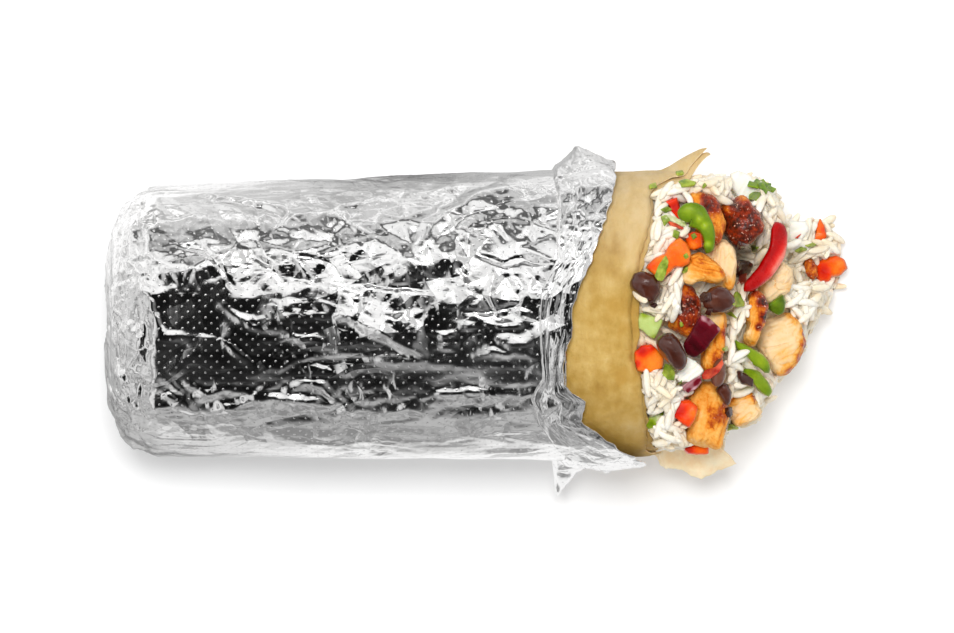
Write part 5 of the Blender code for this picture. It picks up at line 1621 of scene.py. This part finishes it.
# ---- Leaves and small bits ------------------------------------------------------------------------
# Torn coriander leaf and crumbs of the chopped vegetables, pressed on to the filling where they fell.
BITS = {
    "green_bits": (
        ((47.4, 12.2), (48.4, 15), (50.4, 17.8), (51.2, 16), (50.4, 13), (49.4, 10.6), (48.2, 10.8)),
        ((49.4, -14.2), (50.2, -11.4), (51.6, -12), (53, -14), (52.6, -16), (51, -15.8)),
        ((68.4, 4.2), (69.6, 8.2), (71, 7), (72, 5), (71.8, 3.8), (70, 3.7)),
        ((67, 2), (68.6, 2.6), (70, 0.6), (69, 1)), ((49, 30), (51, 31), (52.4, 30), (50.6, 29)),
        ((49, 28), (50.6, 28.4), (51.6, 27), (50, 25.4)),
        ((52.2, 22.6), (52.6, 24.6), (54.2, 24), (53.6, 22)),
        ((54, 37.6), (56, 38.2), (59, 37.4), (58.4, 36.4), (55, 36)),
        ((46.2, 36.8), (48, 37.4), (48.4, 36), (46.4, 35.6)), ((60.4, 35.8), (61.2, 37.4), (61.8, 36.6)),
        ((55, 17.6), (56, 18.4), (56.6, 17.2), (55.6, 16.6)),
        ((54.8, 13.2), (56.4, 14.8), (56, 13.4), (55.2, 12.8)),
        ((57.2, 23.2), (58.4, 23.8), (59, 22.6), (57.8, 21.8)),
        ((67.6, -29.8), (68.6, -27.8), (70.8, -28.8), (71, -29.6)),
        ((86.8, 19.2), (89, 20.2), (90.6, 19.8), (88, 18.8)),
        ((89.8, 20.6), (92.2, 21.6), (93.2, 21), (91, 20.2)),
        ((74.4, 19.2), (75, 21), (76.4, 20), (76, 18.8)),
        ((54.2, -0.3), (54.9, -0.2), (55.4, -1.3), (54.5, -1.6)),
        ((53.8, -16.6), (54.8, -16.2), (55, -17.2)), ((66, -7.4), (67, -6.6), (67.4, -8), (66.2, -8.2)),
        ((53.6, 40.4), (55.6, 40.8), (56, 39.8), (54, 39.6)),
    ),
    "coriander_leaf": (
        ((73.2, 36.6), (73.8, 38.2), (75, 37.8), (75.8, 38.8), (77, 38.2), (77.8, 38.8), (78.6, 37.6),
         (80, 37.4), (79.8, 36.6), (81.4, 36), (80.4, 35), (78.8, 35.4), (78.4, 34.4), (77.4, 35.6),
         (75.6, 36.2)), ((73.8, 34.4), (75.2, 35.2), (76.8, 35), (76.6, 33.8), (75.4, 32.6), (73.8, 33)),
    ),
    "tomato_skins": (
        ((60.2, -14.6), (61.6, -13), (64, -12.4), (65.8, -10.2), (66.2, -11.4), (65, -13.8),
         (62.6, -15.6), (60.6, -15.8)),
        ((51, 26.8), (53, 26.2), (55.4, 24.8), (54.6, 24.6), (51.6, 25.8)),
        ((70.2, 10), (71.6, 12.4), (73.6, 13), (72.6, 10.2)),
        ((86.8, 22.6), (88, 23.6), (88.8, 24), (87.8, 22.6)),
    ),
    "pale_leaf": (
        ((50.2, 28.4), (52.4, 28.2), (55.8, 26.6), (56.2, 25.6), (55, 25.4), (52, 26.8), (50, 27.4)),
    ),
}


def bit_finish(name, dark, light, gloss=0.35):
    """A torn bit's skin, cloudy between a dark and a light colour."""
    bit = Finish(name, Subsurface_Weight=0.10, Subsurface_Scale=0.001, Coat_Weight=gloss,
                 Coat_Roughness=0.15)
    cloud = bit.speckle(1.6, 3.0, 0.6)
    relief = bit.bumped(cloud, 0.3)
    return bit.set(Base_Color=bit.mix(cloud.between(0.32, 0.66), dark, light),
                   Roughness=cloud.between(0.3, 0.7, 0.3, 0.5), Normal=relief)


top_tree = tree_over(loose_pieces + [rice_core, rice_grains, tortilla_outer, tortilla_inner])


def thin_bits(name, outlines, thickness, finish):
    """Thin torn bits, each cut to its outline and pressed on to what lies below it."""
    made = []
    for number, outline in enumerate(outlines):
        bpy.ops.mesh.primitive_circle_add(vertices=len(outline), radius=1, fill_type="NGON")
        bit = bpy.context.object
        flat = [plan(x, y, 62) for x, y in outline]
        for vertex, (x, y) in zip(bit.data.vertices, flat):
            vertex.co = (x, y, 0)
        bpy.ops.object.mode_set(mode="EDIT")
        bpy.ops.mesh.select_all(action="SELECT")
        bpy.ops.mesh.quads_convert_to_tris(ngon_method="CLIP")
        bpy.ops.mesh.subdivide(number_cuts=3, smoothness=0.0)
        bpy.ops.mesh.normals_make_consistent(inside=False)
        bpy.ops.object.mode_set(mode="OBJECT")
        beds = []
        for vertex in bit.data.vertices:
            hit = top_tree.ray_cast(Vector((vertex.co.x, vertex.co.y, ABOVE_ALL)), Vector((0, 0, -1)))[0]
            beds.append(hit.z if hit else 0.0)
        beds = np.maximum(beds, np.percentile(beds, 60) - 1.5)
        places = np.array([vertex.co[:] for vertex in bit.data.vertices])
        level = np.c_[np.ones(len(places)), places[:, :2]]
        slope = np.linalg.lstsq(level, np.array(beds), rcond=None)[0]
        flat_rest = level @ slope
        lift = max(0.0, np.percentile(np.array(beds) - flat_rest, 80)) * 0.6
        for vertex, rest, bed in zip(bit.data.vertices, flat_rest, beds):
            wave = noise.noise(Vector((vertex.co.x, vertex.co.y, number * 3.7)) / 2.2)
            vertex.co.z = max(0.7 * rest + 0.3 * bed + lift, bed) + 0.5 * wave + 0.3
            vertex.co = (vertex.co + ORIGIN) * MM
        if bit.data.polygons[0].normal.z < 0:
            bit.data.flip_normals()
        solid = bit.modifiers.new("thickness", "SOLIDIFY")
        solid.thickness = thickness * MM
        solid.offset = 0.0
        bpy.ops.object.modifier_apply(modifier="thickness")
        round_edges = bit.modifiers.new("round", "SUBSURF")
        round_edges.levels = round_edges.render_levels = 1
        bpy.ops.object.modifier_apply(modifier="round")
        bpy.ops.object.shade_smooth()
        made.append(bit)
    for bit in made:
        bit.select_set(True)
    bpy.context.view_layer.objects.active = made[0]
    if len(made) > 1:
        bpy.ops.object.join()
    joined = bpy.context.object
    joined.name = joined.data.name = name
    joined.data.materials.append(finish)
    bpy.ops.object.select_all(action="DESELECT")
    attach(joined, "root")
    return joined


green_crumb = bit_finish("green_crumb", (0.12, 0.20, 0.006), (0.36, 0.44, 0.05))
coriander = bit_finish("coriander", (0.08, 0.17, 0.003), (0.24, 0.36, 0.01), 0.1)
tomato_skin = bit_finish("tomato_skin", (0.36, 0.012, 0.006), (0.66, 0.09, 0.03))
pale_stalk = bit_finish("pale_stalk", (0.42, 0.50, 0.16), (0.72, 0.74, 0.45))
thin_bits("green_bits", BITS["green_bits"], 0.9, green_crumb)
thin_bits("coriander_leaf", BITS["coriander_leaf"], 0.5, coriander)
thin_bits("tomato_skins", BITS["tomato_skins"], 0.8, tomato_skin)
thin_bits("pale_leaf", BITS["pale_leaf"], 0.7, pale_stalk)
# bean bits, with the dark bits in the hollows as painted shade
thin_bits("bean_bits_and_hollow_shade", BEAN_BITS_AND_HOLLOW_SHADE, 1.6, bean_skin)


low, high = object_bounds()
